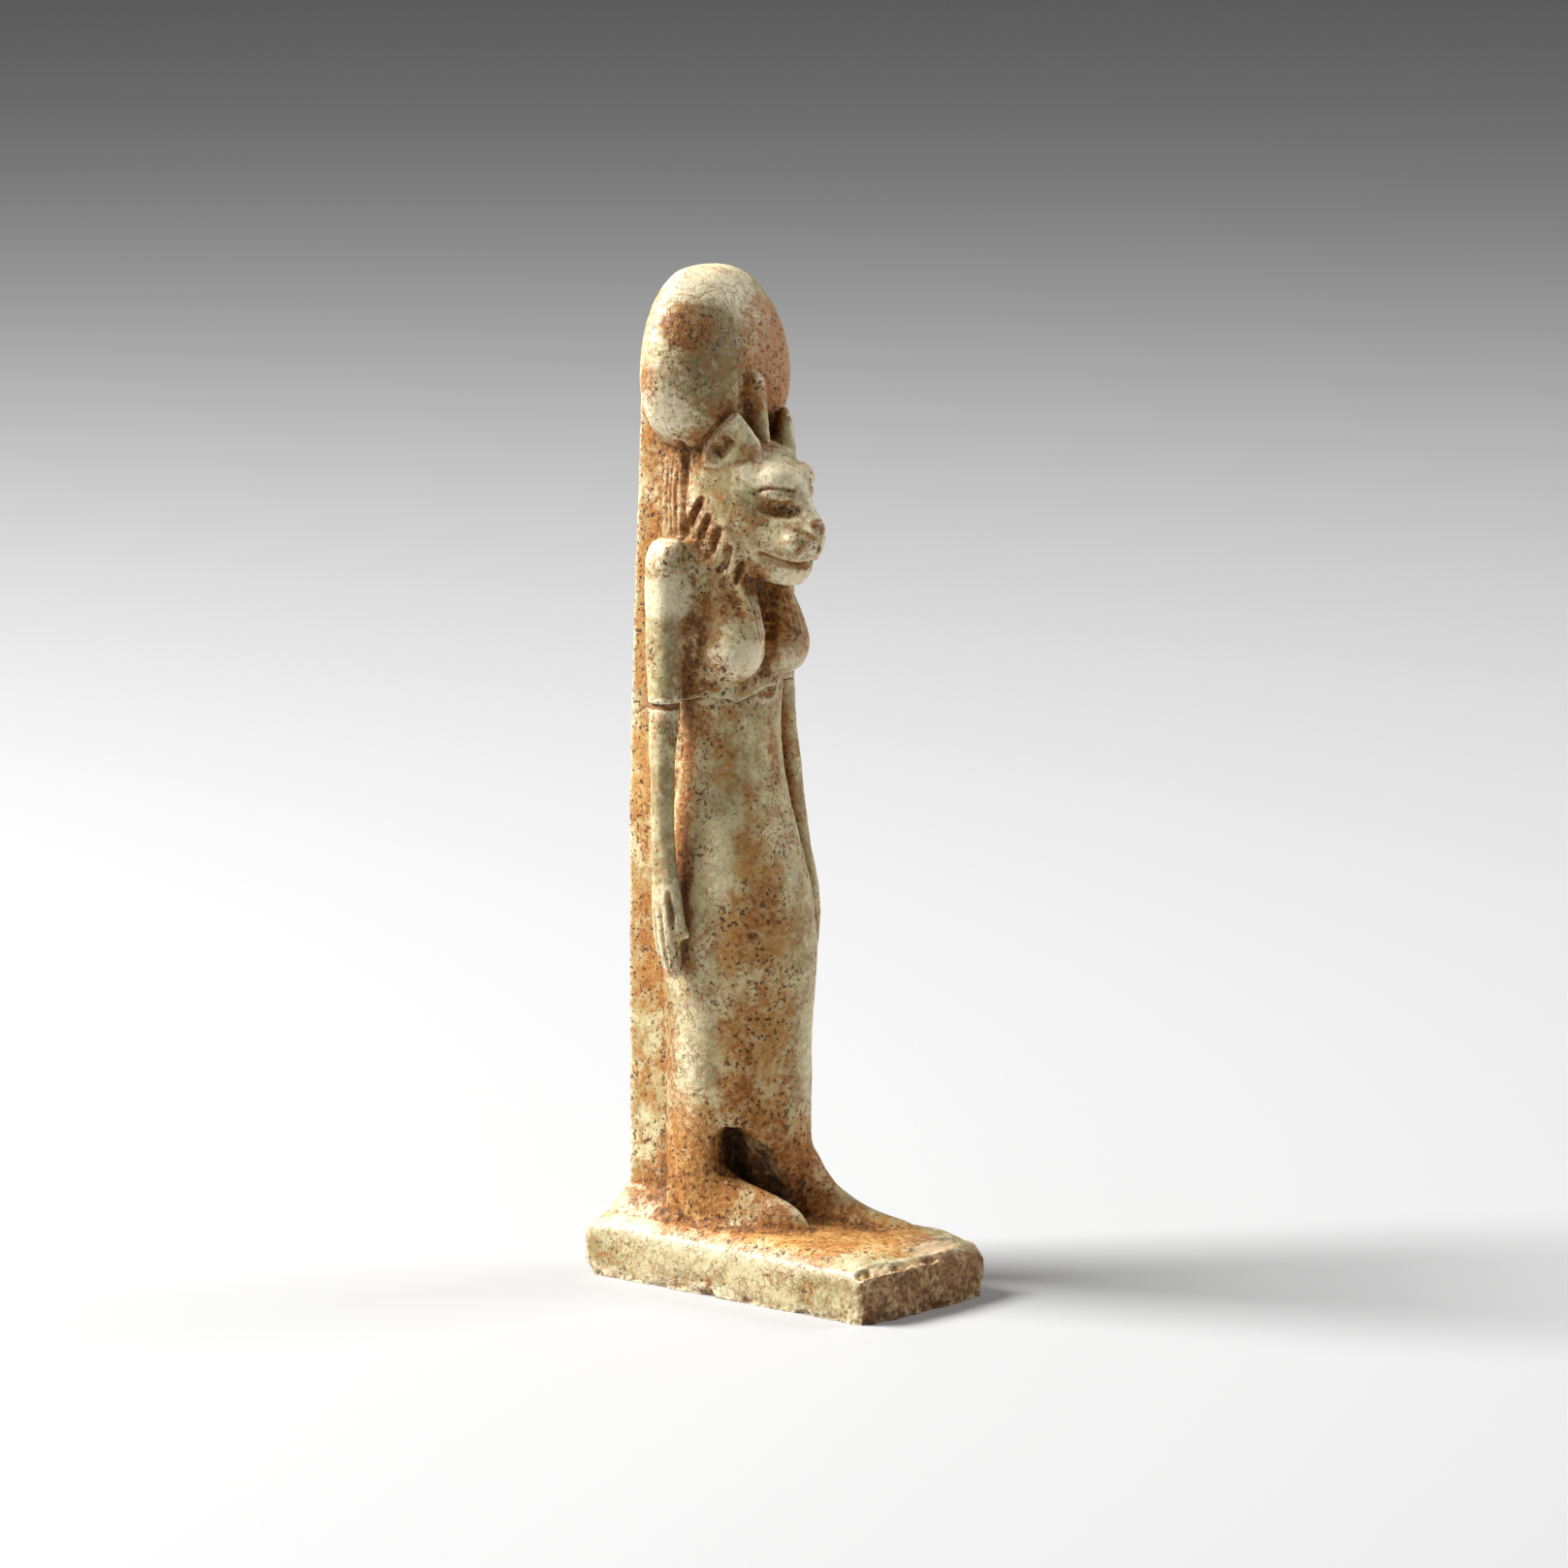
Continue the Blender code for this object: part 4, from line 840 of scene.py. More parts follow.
# Where the earth has worked in or the glaze has gone. Each row of these tables is a patch's
# place, reach and strength, in millimetres, with heights above the plinth.
EARTH = [
    ((-6.3, 7, 86), (2.6, 3, 2.9), 1),
    ((-8.9, 9.6, 80.9), (1.3, 1.6, 2.6), 0.8),
    ((-4, 4.8, 78.2), (2, 1.8, 2), 0.7),
    ((-4.7, 6, 75.6), (2.4, 2.6, 1.6), 0.8),
    ((-1.2, 3.8, 79.3), (1.5, 1.4, 2.9), 1.05),
    ((1.7, 3.6, 78.3), (1.6, 1.6, 3.4), 0.9),
    ((-5, 8.5, 73.6), (1.8, 3.6, 2), 1),
    ((-5.5, 7.9, 70), (1, 1, 3.6), 0.9),
    ((-5.3, 10, 70), (0.9, 2.2, 4.8), 0.62),
    ((-2.8, 2.6, 74.5), (1.5, 1.6, 1), 0.7),
    ((-0.8, 1.8, 74.9), (1.4, 1.2, 0.7), 0.7),
    ((-0.4, -4.1, 68), (1.1, 0.9, 0.8), 1),
    ((-2.4, -1.4, 66.3), (0.5, 0.5, 0.42), 1.2),
    ((-1.9, -2.9, 65.5), (0.55, 0.55, 0.36), 1.2),
    ((-0.9, -2.4, 63.95), (1.5, 1.2, 0.42), 1),
    ((-3.3, 0.9, 65.2), (0.7, 0.8, 0.4), 0.6),
    ((0.6, 2.8, 60.8), (2.9, 2.6, 3.6), 1.2),
    ((-2.6, 2.1, 62.9), (2.2, 1.7, 2), 1.2),
    ((-3.8, 3.2, 62.6), (1.8, 1.5, 1.8), 0.6),
    ((-6.7, 6.3, 58.3), (1, 1.2, 1.4), 1.1),
    ((-6, 5.4, 55), (2.2, 2.4, 4.6), 0.6),
    ((-6.3, 6.5, 54.2), (1.1, 1.3, 2.4), 0.9),
    ((-3.5, 5, 81.5), (3.5, 3, 5), 0.36),
    ((-5.2, 5, 66.5), (1.3, 3.5, 4.6), 0.35),
    ((2.5, 0.9, 58.8), (1.6, 1.8, 3.2), 0.85),
    ((-5.7, 5.8, 52.3), (1.7, 1.9, 1.3), 1),
    ((-3, 1.2, 57.2), (0.7, 0.8, 0.9), 0.7),
    ((0.4, 3, 55.5), (1.4, 1.8, 3.4), 1),
    ((2.2, 1, 57.6), (1.8, 1.6, 2), 0.8),
    ((-5.9, 7.6, 47), (1.2, 1.6, 5.2), 1),
    ((-5.4, 6.2, 49.5), (1.3, 1.6, 2), 0.8),
    ((-6, 7.8, 40), (1, 1.3, 5.5), 0.8),
    ((-6.5, 6.9, 35.3), (0.9, 1.3, 3.6), 1),
    ((1.7, 3.2, 46), (1.2, 1.5, 3.6), 0.8),
    ((6.4, 6.3, 45), (1.6, 1.7, 9), 0.9),
    ((-9.1, 8.6, 47), (0.8, 0.6, 4), 0.5),
    ((-3.6, 1.6, 38.5), (2.2, 1.6, 3), 0.5),
    ((-2.6, 0.6, 32), (2.4, 1.8, 3.2), 0.75),
    ((-4.3, 1.6, 28.5), (1.6, 1.6, 3), 0.6),
    ((1.5, -0.2, 30), (2.2, 1.6, 4.5), 0.4),
    ((-4, 2.4, 20), (2.6, 2.4, 4.5), 0.55),
    ((-3.8, 2.4, 13), (2.9, 2.6, 5.5), 0.85),
    ((-1.2, 0.4, 9.5), (2.2, 2.4, 3), 0.7),
    ((-3, 3, 5.5), (4.2, 4.5, 4.8), 0.85),
    ((-3.2, -1, 2.6), (3, 4.2, 1.9), 0.7),
    ((0.8, -1, 4.5), (2.3, 3.6, 3.6), 0.95),
    ((2, -5.5, 1.9), (1.5, 5.4, 1.2), 0.95),
    ((-6.3, 8.8, 1.6), (1.4, 2.6, 1.2), 0.95),
    ((-4.4, 0.6, 1.1), (2.6, 5.6, 0.8), 0.8),
    ((-5.4, 11.4, 3.8), (0.9, 2.4, 4), 0.8),
    ((-5.7, 9.3, 12), (1.1, 1.6, 15), 0.6),
    ((-8.9, 2.3, -3.4), (0.7, 0.7, 0.9), 0.9),
    ((-5.3, 13.2, 34), (0.8, 1.3, 17), 0.55),
    ((-5.3, 12.6, 65), (0.8, 2.2, 14), 0.5),
    ((-5.3, 13, 74), (0.8, 2.4, 3), 0.6),
    ((5.4, 12.5, 30), (0.9, 2.4, 26), 0.5),
    ((0.5, 15.6, 62), (4, 1, 9), 0.6),
    ((-1.5, 15.6, 22), (3, 1, 10), 0.6),
    ((4.6, 2.2, 16), (2.2, 2.6, 4.5), 0.4),
    ((5.6, 8, 8), (1.4, 3, 5), 0.6),
    ((4.5, 9.8, 85), (3, 5, 3.4), 0.6),
    ((-6.3, 6.2, 6), (2, 4.4, 7), 0.8),
    ((3.3, 4.2, 77.2), (1.8, 2.2, 3.6), 0.85),
    ((4.4, 0.9, 57.6), (2.3, 2.3, 3.8), 0.75),
    ((0, -5, 1), (8.4, 12, 1.4), 0.5),
    ((0.4, 0.8, 6.6), (2.6, 2.8, 4.6), 1),
    ((3, 1.4, 6.5), (2.8, 3.2, 5.2), 0.65),
    ((2.8, -5.4, 2.8), (2, 5.6, 2.2), 0.95),
    ((-4.6, 4.2, 59.6), (2.3, 2.2, 2.8), 0.75),
    ((-5.4, 12.6, 52), (0.8, 2.4, 8), 0.4),
    ((4.6, 0.6, 6.5), (2.6, 3.4, 4.2), 0.5),
    ((3.6, -5, 2.6), (1.4, 4.6, 1.4), 0.4),
    ((-5.6, 4.9, 57), (1.5, 1.8, 3.2), 0.7),
]
# Earth lodged along cuts and seams: the path, how far it reaches and its strength
EARTH_LINES = [
    ([(-4.5, 2.3, 73), (-4.7, 2, 69.5), (-4.3, 1.9, 65.8)], 0.32, 0.75),
    ([(0.7, -1.2, 4.6), (1.6, -4.5, 2.2), (2.5, -8, 1.1), (3.4, -11.2, 0.7)], 0.8, 1.2),
    (
        [(-6.4, 8.6, 1.1), (-6.8, 5.0, 0.9), (-6.4, 1.2, 0.7), (-5.0, -2.2, 0.6), (-3.2, -3.6, 0.6)],
        0.75,
        1.1,
    ),
    ([(-5.5, 14.5, 1.3), (-5.7, 10.4, 1.1)], 0.9, 1),
    ([(-6.6, 8.9, 54.5), (-6.5, 8.3, 46), (-6.7, 7.8, 36)], 0.6, 0.8),
]
# Where the glaze lies thick, dull and greenish
THICK = [
    ((-4, 5.6, 83), (4.4, 3.6, 5.6), 1),
    ((-3.6, 1.8, 68.8), (2, 2.6, 3), 0.55),
    ((-1.4, -1.4, 66.6), (1.9, 2.4, 1.8), 0.75),
    ((-5.8, 4.8, 57.6), (1.8, 2.2, 3.6), 0.8),
    ((-3, 3, 47), (3, 2.6, 5), 0.5),
    ((-5.4, 9.6, 69), (0.9, 2.4, 4.4), 0.5),
    ((-5.2, 13, 56), (0.8, 3, 14), 1),
    ((5.4, 2.4, 40), (2.6, 3, 12), 0.4),
    ((-4.8, 5.2, 70.4), (1.4, 2.8, 3.8), 0.8),
    ((-8.8, 6.4, 50), (1.3, 2.2, 12), 0.75),
    ((-3.6, 1.2, 27), (3.2, 2.4, 14), 0.35),
    ((-9.2, 0, -3), (0.8, 16, 2.2), 0.3),
    ((-5.5, 13, 26), (0.8, 3, 12), 0.5),
]
# Where the glaze is clean and pale, with painted highlight on tops and edges that face the light, such as
# the brow, the disc's top and left edge, the shoulder and the breast
PALE_AND_LIT = [
    ((-2, 7, 91), (6, 6.5, 3.4), 1),
    ((-7.4, 8.6, 78.4), (2.4, 3.4, 2.6), 1),
    ((-2.4, -0.4, 72.9), (3.4, 3.2, 2.1), 1.6),
    ((-2.6, -0.6, 66.8), (1.6, 1.8, 1.4), 0.6),
    ((-1.4, -1, 62.8), (2.4, 2.4, 1.1), 0.8),
    ((-0.2, -2.6, 70.4), (1, 2.6, 3.2), 1.2),
    ((-3.9, 4.2, 77), (1.4, 1.4, 1.6), 0.6),
    ((-7.8, 8.2, 61), (2.4, 3.2, 2.8), 1.3),
    ((-8.3, 10.2, 50), (1, 1.4, 14), 0.7),
    ((-4.3, 0.9, 55), (2.2, 1.9, 2.6), 1.3),
    ((1.4, 1.6, 48), (1.8, 1.9, 5), 1.1),
    ((-6.6, 7.2, 17), (1.4, 2.6, 10), 0.55),
    ((-5.6, 3.4, 36), (1.4, 1.8, 6), 0.5),
    ((3.2, 0.4, 18), (2.2, 2, 7), 0.6),
    ((-7, 13, 0.4), (3, 5, 1.4), 0.8),
    ((-8.6, 2, -0.6), (0.9, 17, 0.9), 0.8),
    ((-8.9, 4, -2.2), (0.8, 10, 2.6), 0.5),
    ((0, -16.4, 0), (9, 0.8, 0.8), 0.6),
]
# Where the body is rosy
ROSY = [
    ((3.4, 5, 83), (5, 4.4, 8), 1),
    ((3.4, -15, 1), (4, 2.4, 1.6), 0.8),
]
# Where the clay body shows warm and matt through thin glaze
WARM = [
    ((-0.5, -3, 1), (8.4, 14.5, 1.6), 1.25),
    ((-6.3, 6.4, 6), (2.2, 5.2, 9), 1.1),
    ((2.6, 0, 6), (3.6, 5, 7), 0.9),
    ((-5.4, 13, 44), (0.9, 3.2, 14), 0.8),
    ((-2.8, 1.6, 22), (4.4, 3.6, 24), 0.75),
    ((-6, 4.5, 4.5), (2.6, 5.6, 7), 1.1),
    ((-4.6, 4.6, 47), (2.6, 2.6, 6), 0.5),
    ((3.4, 5, 82), (5.4, 4.2, 7.6), 1.1),
    ((-5.4, 13.5, 45), (1, 3.4, 60), 0.55),
    ((0, 5.5, 4.5), (6.8, 7, 6.6), 1),
    ((0.4, -5, 1.6), (5.6, 10, 2.4), 0.9),
    ((-3, 2, 15), (3.4, 3.4, 8), 0.9),
    ((-5, 7.5, 1), (4.2, 10, 1), 0.6),
    ((0.5, 2.8, 60), (3, 3, 4.5), 0.8),
    ((0, 15.7, 45), (6, 1.2, 60), 0.4),
    ((0, 9.9, 91), (5, 3, 2.6), 0.5),
]
# Where the crazing shows
CRAZED = [
    ((-4.5, 8, 83), (8, 7, 12), 1),
    ((-3.5, 0, 68), (4, 6, 6), 0.45),
    ((-8.9, 0, -2.2), (1.6, 19, 3.6), 0.9),
    ((-6.4, 7.5, 17), (2, 4.5, 14), 0.9),
    ((0, 16, 40), (6, 2, 50), 0.6),
    ((6.5, 7, 40), (4, 7, 45), 0.6),
]
# Painted deep shade in hollows and between parts, such as between the legs, under the eyes and beside the
# uraeus, with the dirt lodged there
DEEP_SHADE_AND_DIRT = [
    ((1.4, 1.6, 60.2), (1.6, 1.6, 1.8), 0.4),
    ((-1.4, 2.2, 6.9), (1.7, 2.2, 2.8), 0.85),
    ((-0.5, 1, 5), (1.4, 2, 1.8), 0.85),
    ((-0.2, 0.4, 3.6), (1.6, 2.6, 1.6), 0.9),
    ((1.1, -3, 2.2), (1.1, 3.6, 0.8), 0.6),
    ((-9.1, 6.5, 31.4), (0.7, 0.4, 1.6), 0.95),
    ((9.1, 4.2, 31.4), (0.7, 0.4, 1.6), 0.95),
    ((-3.8, 1, 29.2), (0.8, 0.9, 0.6), 0.5),
    ((-3.2, 0.8, 28.7), (0.6, 0.7, 0.5), 0.42),
    ((-4, 1.2, 30.2), (0.6, 0.7, 0.5), 0.35),
    ((-1.6, -1, 69.3), (1.3, 1.3, 0.6), 0.7),
    ((1.6, 3.3, 76.2), (1.1, 1.5, 1.5), 0.55),
    ((-6, 8, 66.2), (0.5, 0.5, 1.4), 0.9),
    ((2.6, 0.5, 57.2), (1.1, 1, 1.2), 0.75),
    ((0.7, 2.2, 58.5), (1.1, 1.4, 3.2), 0.45),
    ((-5, 4.4, 74.5), (0.9, 0.9, 0.9), 0.8),
    ((-5.2, 5.6, 52.6), (0.9, 0.9, 0.7), 0.6),
    ((-6.3, 6.3, 36.2), (0.5, 0.8, 2.4), 0.5),
]
# Fresh pinkish fracture, and the filler of the mend
FRESH = [
    ((3.3, -15.2, 0.9), (3.4, 1.1, 1.4), 1),
    ((-5.6, -16.4, 0.3), (2.6, 0.9, 0.9), 0.6),
]


def patches(points, places):
    """The strongest of many soft patches at each point."""
    total = np.zeros(len(points))
    for at, reach, strength in places:
        total = np.maximum(total, strength * np.sqrt(within(points, at, reach)))
    return total


def along(path, reach, strength):
    """Small round patches laid close together along a path."""
    path = np.asarray(path, float)
    places = []
    for start, end in zip(path[:-1], path[1:]):
        count = math.ceil(np.linalg.norm(end - start) / (0.7 * reach))
        places += [start + (end - start) * i / count for i in range(count + 1)]
    return [(place, (reach, reach, reach), strength) for place in places]


def lodged_earth():
    """The earth patches, with those along cuts, seams and mane locks."""
    lines = EARTH_LINES + [([top, low], 0.62, 1.3) for top, low in MANE_LOCKS]
    return EARTH + [place for line in lines for place in along(*line)]


def ball_of_ways(count):
    """Directions spread evenly round a ball."""
    i = np.arange(count) + 0.5
    z = 1 - 2 * i / count
    turn = i * math.pi * (1 + math.sqrt(5))
    flat = np.sqrt(1 - z * z)
    return np.stack([flat * np.cos(turn), flat * np.sin(turn), z], 1)


def shut_in(skin, reach=3.2, ways=18):
    """How much of each point's outlook is closed off close by, from 0 in the open to 1 in a hole."""
    blocked, seen = np.zeros(len(skin.points)), np.zeros(len(skin.points))
    starts = skin.points + 0.06 * skin.facing
    for way in ball_of_ways(ways):
        facing = skin.facing @ way
        aim = Vector(way)
        index = np.where(facing > 0.2)[0]
        hits = [skin.tree.ray_cast(Vector(start), aim, reach)[3] for start in starts[index].tolist()]
        closed = np.array([0.0 if hit is None else 1 - hit / reach for hit in hits])
        blocked[index] += facing[index] * closed
        seen[index] += facing[index]
    return skin.evened(blocked / np.maximum(seen, 1e-6), 3)


def between_legs(points):
    """1 deep in the blind hollow between the legs, behind the round of the skirt, where deep shade is
    painted.
    """
    x, y, z = points.T
    turned = (y - AXIS_Y) + STRIDE[0][1] * x / STRIDE_WIDTH * np.clip((AXIS_Y - y) / STRIDE_FRONT, 0, 1)
    outward = (np.abs(x) / HEM_WIDTH) ** HEM_POWER + (np.abs(turned) / HEM_FRONT) ** HEM_POWER
    outward = outward ** (1 / HEM_POWER)
    in_front = np.clip(7.5 - y, 0, 1)
    deep = np.clip((0.92 - outward) / 0.5, 0, 1) * in_front * np.clip((11.2 - z) / 0.4, 0, 1)
    return deep * np.interp(x, (-3.6, -1.2, 1.4), (0.95, 0.85, 0.4))


def stain_and_paint_light(skin):
    """Writes what the finish needs to know about each point of the skin, painted shade and highlight among
    it.
    """
    points = skin.points
    hollow = shut_in(skin)
    fine = ((skin.evened(points, 3) - points) * skin.directions(2)).sum(1)
    broad = ((skin.evened(points, 22) - points) * skin.directions(6)).sum(1)
    recess = np.clip(2.2 * hollow - 0.12, 0, 1) + np.clip(7 * broad, 0, 0.7) + np.clip(26 * fine, 0, 0.5)
    ridge = np.clip(-2.4 * broad - 0.22, 0, 0.6) + np.clip(-20 * fine - 0.12, 0, 0.6)
    ridge *= 1 - np.clip(3 * hollow, 0, 1)
    # Painted deep shade: these patches, the hollow between the legs, and the most shut-in places
    deep_shade_and_dirt = np.maximum(patches(points, DEEP_SHADE_AND_DIRT), between_legs(points))
    masks = {
        "recess": np.clip(recess, 0, 1),
        "ridge": np.clip(ridge, 0, 1),
        "earth": patches(points, lodged_earth()),
        "warm": patches(points, WARM),
        "thick": patches(points, THICK),
        "pale_and_lit": patches(points, PALE_AND_LIT),
        "rosy": patches(points, ROSY),
        "crazed": patches(points, CRAZED),
        # How open each point is; the finish darkens what is shut in with painted shade
        "open": 1 - np.clip(1.5 * hollow, 0, 1),
        "deep_shade_and_dirt": np.clip(deep_shade_and_dirt + np.clip(2.4 * (hollow - 0.5), 0, 1), 0, 1),
        "fresh": patches(points, FRESH),
        "broken": broken_front(points) * (skin.facing[:, 1] < -0.2),
        "off_break": np.clip(above_break(points), -2, 2),
        "filler": filled_gap(points),
    }
    for name, values in masks.items():
        layer = skin.mesh.attributes.new(name, "FLOAT", "POINT")
        layer.data.foreach_set("value", values.astype(np.float32))


def level_underside(skin):
    """Saws the underside flat and closes it."""
    cut = bmesh.new()
    cut.from_mesh(skin.mesh)
    everything = cut.verts[:] + cut.edges[:] + cut.faces[:]
    bmesh.ops.bisect_plane(cut, geom=everything, plane_co=(0, 0, 0), plane_no=(0, 0, 1), clear_inner=True)
    rim = [edge for edge in cut.edges if edge.is_boundary]
    bmesh.ops.edgeloop_fill(cut, edges=rim)
    bmesh.ops.recalc_face_normals(cut, faces=cut.faces)
    cut.to_mesh(skin.mesh)
    cut.free()
    skin.mesh.update()


def lightened(mesh):
    """The finished skin with fewer triangles, most of them kept where the form is fine."""
    loose = bpy.data.objects.new("loose", mesh)
    mesh.calc_loop_triangles()
    fewer = loose.modifiers.new("fewer", "DECIMATE")
    fewer.decimate_type = "COLLAPSE"
    fewer.use_collapse_triangulate = True
    fewer.ratio = min(1.0, TRIANGLES / len(mesh.loop_triangles))
    return applied(loose)


def held_in(mesh, lowest, highest):
    """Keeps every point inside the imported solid's box."""
    flat = np.empty(len(mesh.vertices) * 3, np.float32)
    mesh.vertices.foreach_get("co", flat)
    inside = np.clip(flat.reshape(-1, 3), np.array(lowest), np.array(highest))
    mesh.vertices.foreach_set("co", inside.astype(np.float32).ravel())
    mesh.update()


class Share:
    """A socket of the finish, so that its sums read as sums."""

    def __init__(self, finish, socket):
        self.finish = finish
        self.socket = socket

    def __add__(self, other):
        return self.finish.sum("ADD", self, other)

    def __sub__(self, other):
        return self.finish.sum("SUBTRACT", self, other)

    def __rsub__(self, other):
        return self.finish.sum("SUBTRACT", other, self)

    def __mul__(self, other):
        return self.finish.sum("MULTIPLY", self, other)

    __radd__ = __add__
    __rmul__ = __mul__


class Finish:
    """One material and the ways to add to it."""

    def __init__(self, name):
        self.material = bpy.data.materials.new(name)
        self.material.use_nodes = True
        self.tree = self.material.node_tree
        self.surface = self.tree.nodes["Principled BSDF"]

    def node(self, kind, settings, sockets, output=0):
        """Adds one node: its settings first, then the values or links of its sockets."""
        made = self.tree.nodes.new(kind)
        for name, value in settings.items():
            setattr(made, name, value)
        for name, value in sockets.items():
            self.feed(made.inputs[name], value)
        return Share(self, made.outputs[output])

    def feed(self, socket, value):
        if isinstance(value, Share):
            self.tree.links.new(value.socket, socket)
        else:
            socket.default_value = value

    def sum(self, operation, *terms):
        return self.node("ShaderNodeMath", {"operation": operation}, dict(enumerate(terms)))

    def larger(self, first, second):
        return self.sum("MAXIMUM", first, second)

    def ramp(self, value, low, high):
        """0 below low, 1 above high, and smooth between them."""
        sockets = {"Value": value, "From Min": low, "From Max": high}
        return self.node("ShaderNodeMapRange", {"interpolation_type": "SMOOTHSTEP"}, sockets)

    def mix(self, share, first, second, blend="MIX"):
        """The first colour, with a share of the second laid over it."""
        settings = {"data_type": "RGBA", "blend_type": blend, "clamp_factor": True}
        return self.node("ShaderNodeMix", settings, {0: share, 6: first, 7: second}, output=2)

    def stored(self, name):
        """A value that the skin carries at its points."""
        return self.node("ShaderNodeAttribute", {"attribute_name": name}, {}, output=2)

    def cloud(self, where, size, detail=3.0, roughness=0.55, output=0):
        """Noise whose lumps are about the given size in millimetres."""
        sockets = {"Vector": where, "Scale": 1000 / size, "Detail": detail, "Roughness": roughness}
        return self.node("ShaderNodeTexNoise", {}, sockets, output=output)

    def cells(self, where, size, feature, output=0):
        """Cells about the given size in millimetres."""
        sockets = {"Vector": where, "Scale": 1000 / size}
        return self.node("ShaderNodeTexVoronoi", {"feature": feature}, sockets, output)

    def draw(self, where, size, output=0):
        """A number of its own for each of those cells, drawn from 0 to 1."""
        colours = self.cells(where, size, "F1", output=1)
        return self.node("ShaderNodeSeparateColor", {}, {"Color": colours}, output)

    def vectors(self, operation, sockets):
        return self.node("ShaderNodeVectorMath", {"operation": operation}, sockets)


def srgb(red, green, blue):
    """A colour read off, 0 to 255, as the light it reflects."""
    shares = [channel / 255 for channel in (red, green, blue)]
    return (*[c / 12.92 if c <= 0.04045 else ((c + 0.055) / 1.055) ** 2.4 for c in shares], 1.0)


GLAZE = srgb(208, 195, 148)
GLAZE_GREEN = srgb(152, 138, 92)
GLAZE_DEEP = srgb(118, 104, 62)
WARM_BODY = srgb(206, 156, 82)
WARM_DEEP = srgb(184, 128, 56)
ROSE_BODY = srgb(188, 134, 94)
EARTH_LIGHT = srgb(158, 96, 32)
EARTH_DARK = srgb(64, 36, 12)
CRAZE_BROWN = srgb(122, 88, 46)
RUBBED_AND_LIT = srgb(244, 231, 196)
SHADE_AND_DIRT_BROWN = srgb(40, 23, 10)
PIT_BLACK = srgb(34, 20, 10)
FRESH_BREAK = srgb(224, 194, 154)
BROKEN_CORE = srgb(160, 112, 64)
FILLER = srgb(140, 92, 46)
OCCLUSION_SHADE = srgb(178, 150, 96)


# The sizes of the patterns in the finish, in millimetres
BROAD = 7.0
DRIFT = 5.0
CRAZE_GAPS = 2.4
BLOTCH = 2.2
PIN_HOLES = 1.5
STRAY = 1.3
COARSE_CRAZE = 1.05
SMALL_HOLES = 0.8
SPECKS = 0.7
FINE_CRAZE = 0.6
GRAIN = 0.55
FLECKS = 0.5
RAGGED_SPECKS = 0.42
SAND = 0.16
# How far the craze and the specks stray from their cells, and how deep the finest relief is, in metres
STRAYING = 1.2 * MM
RELIEF_DEPTH = 0.15 * MM
RELIEF_STRENGTH = 0.75


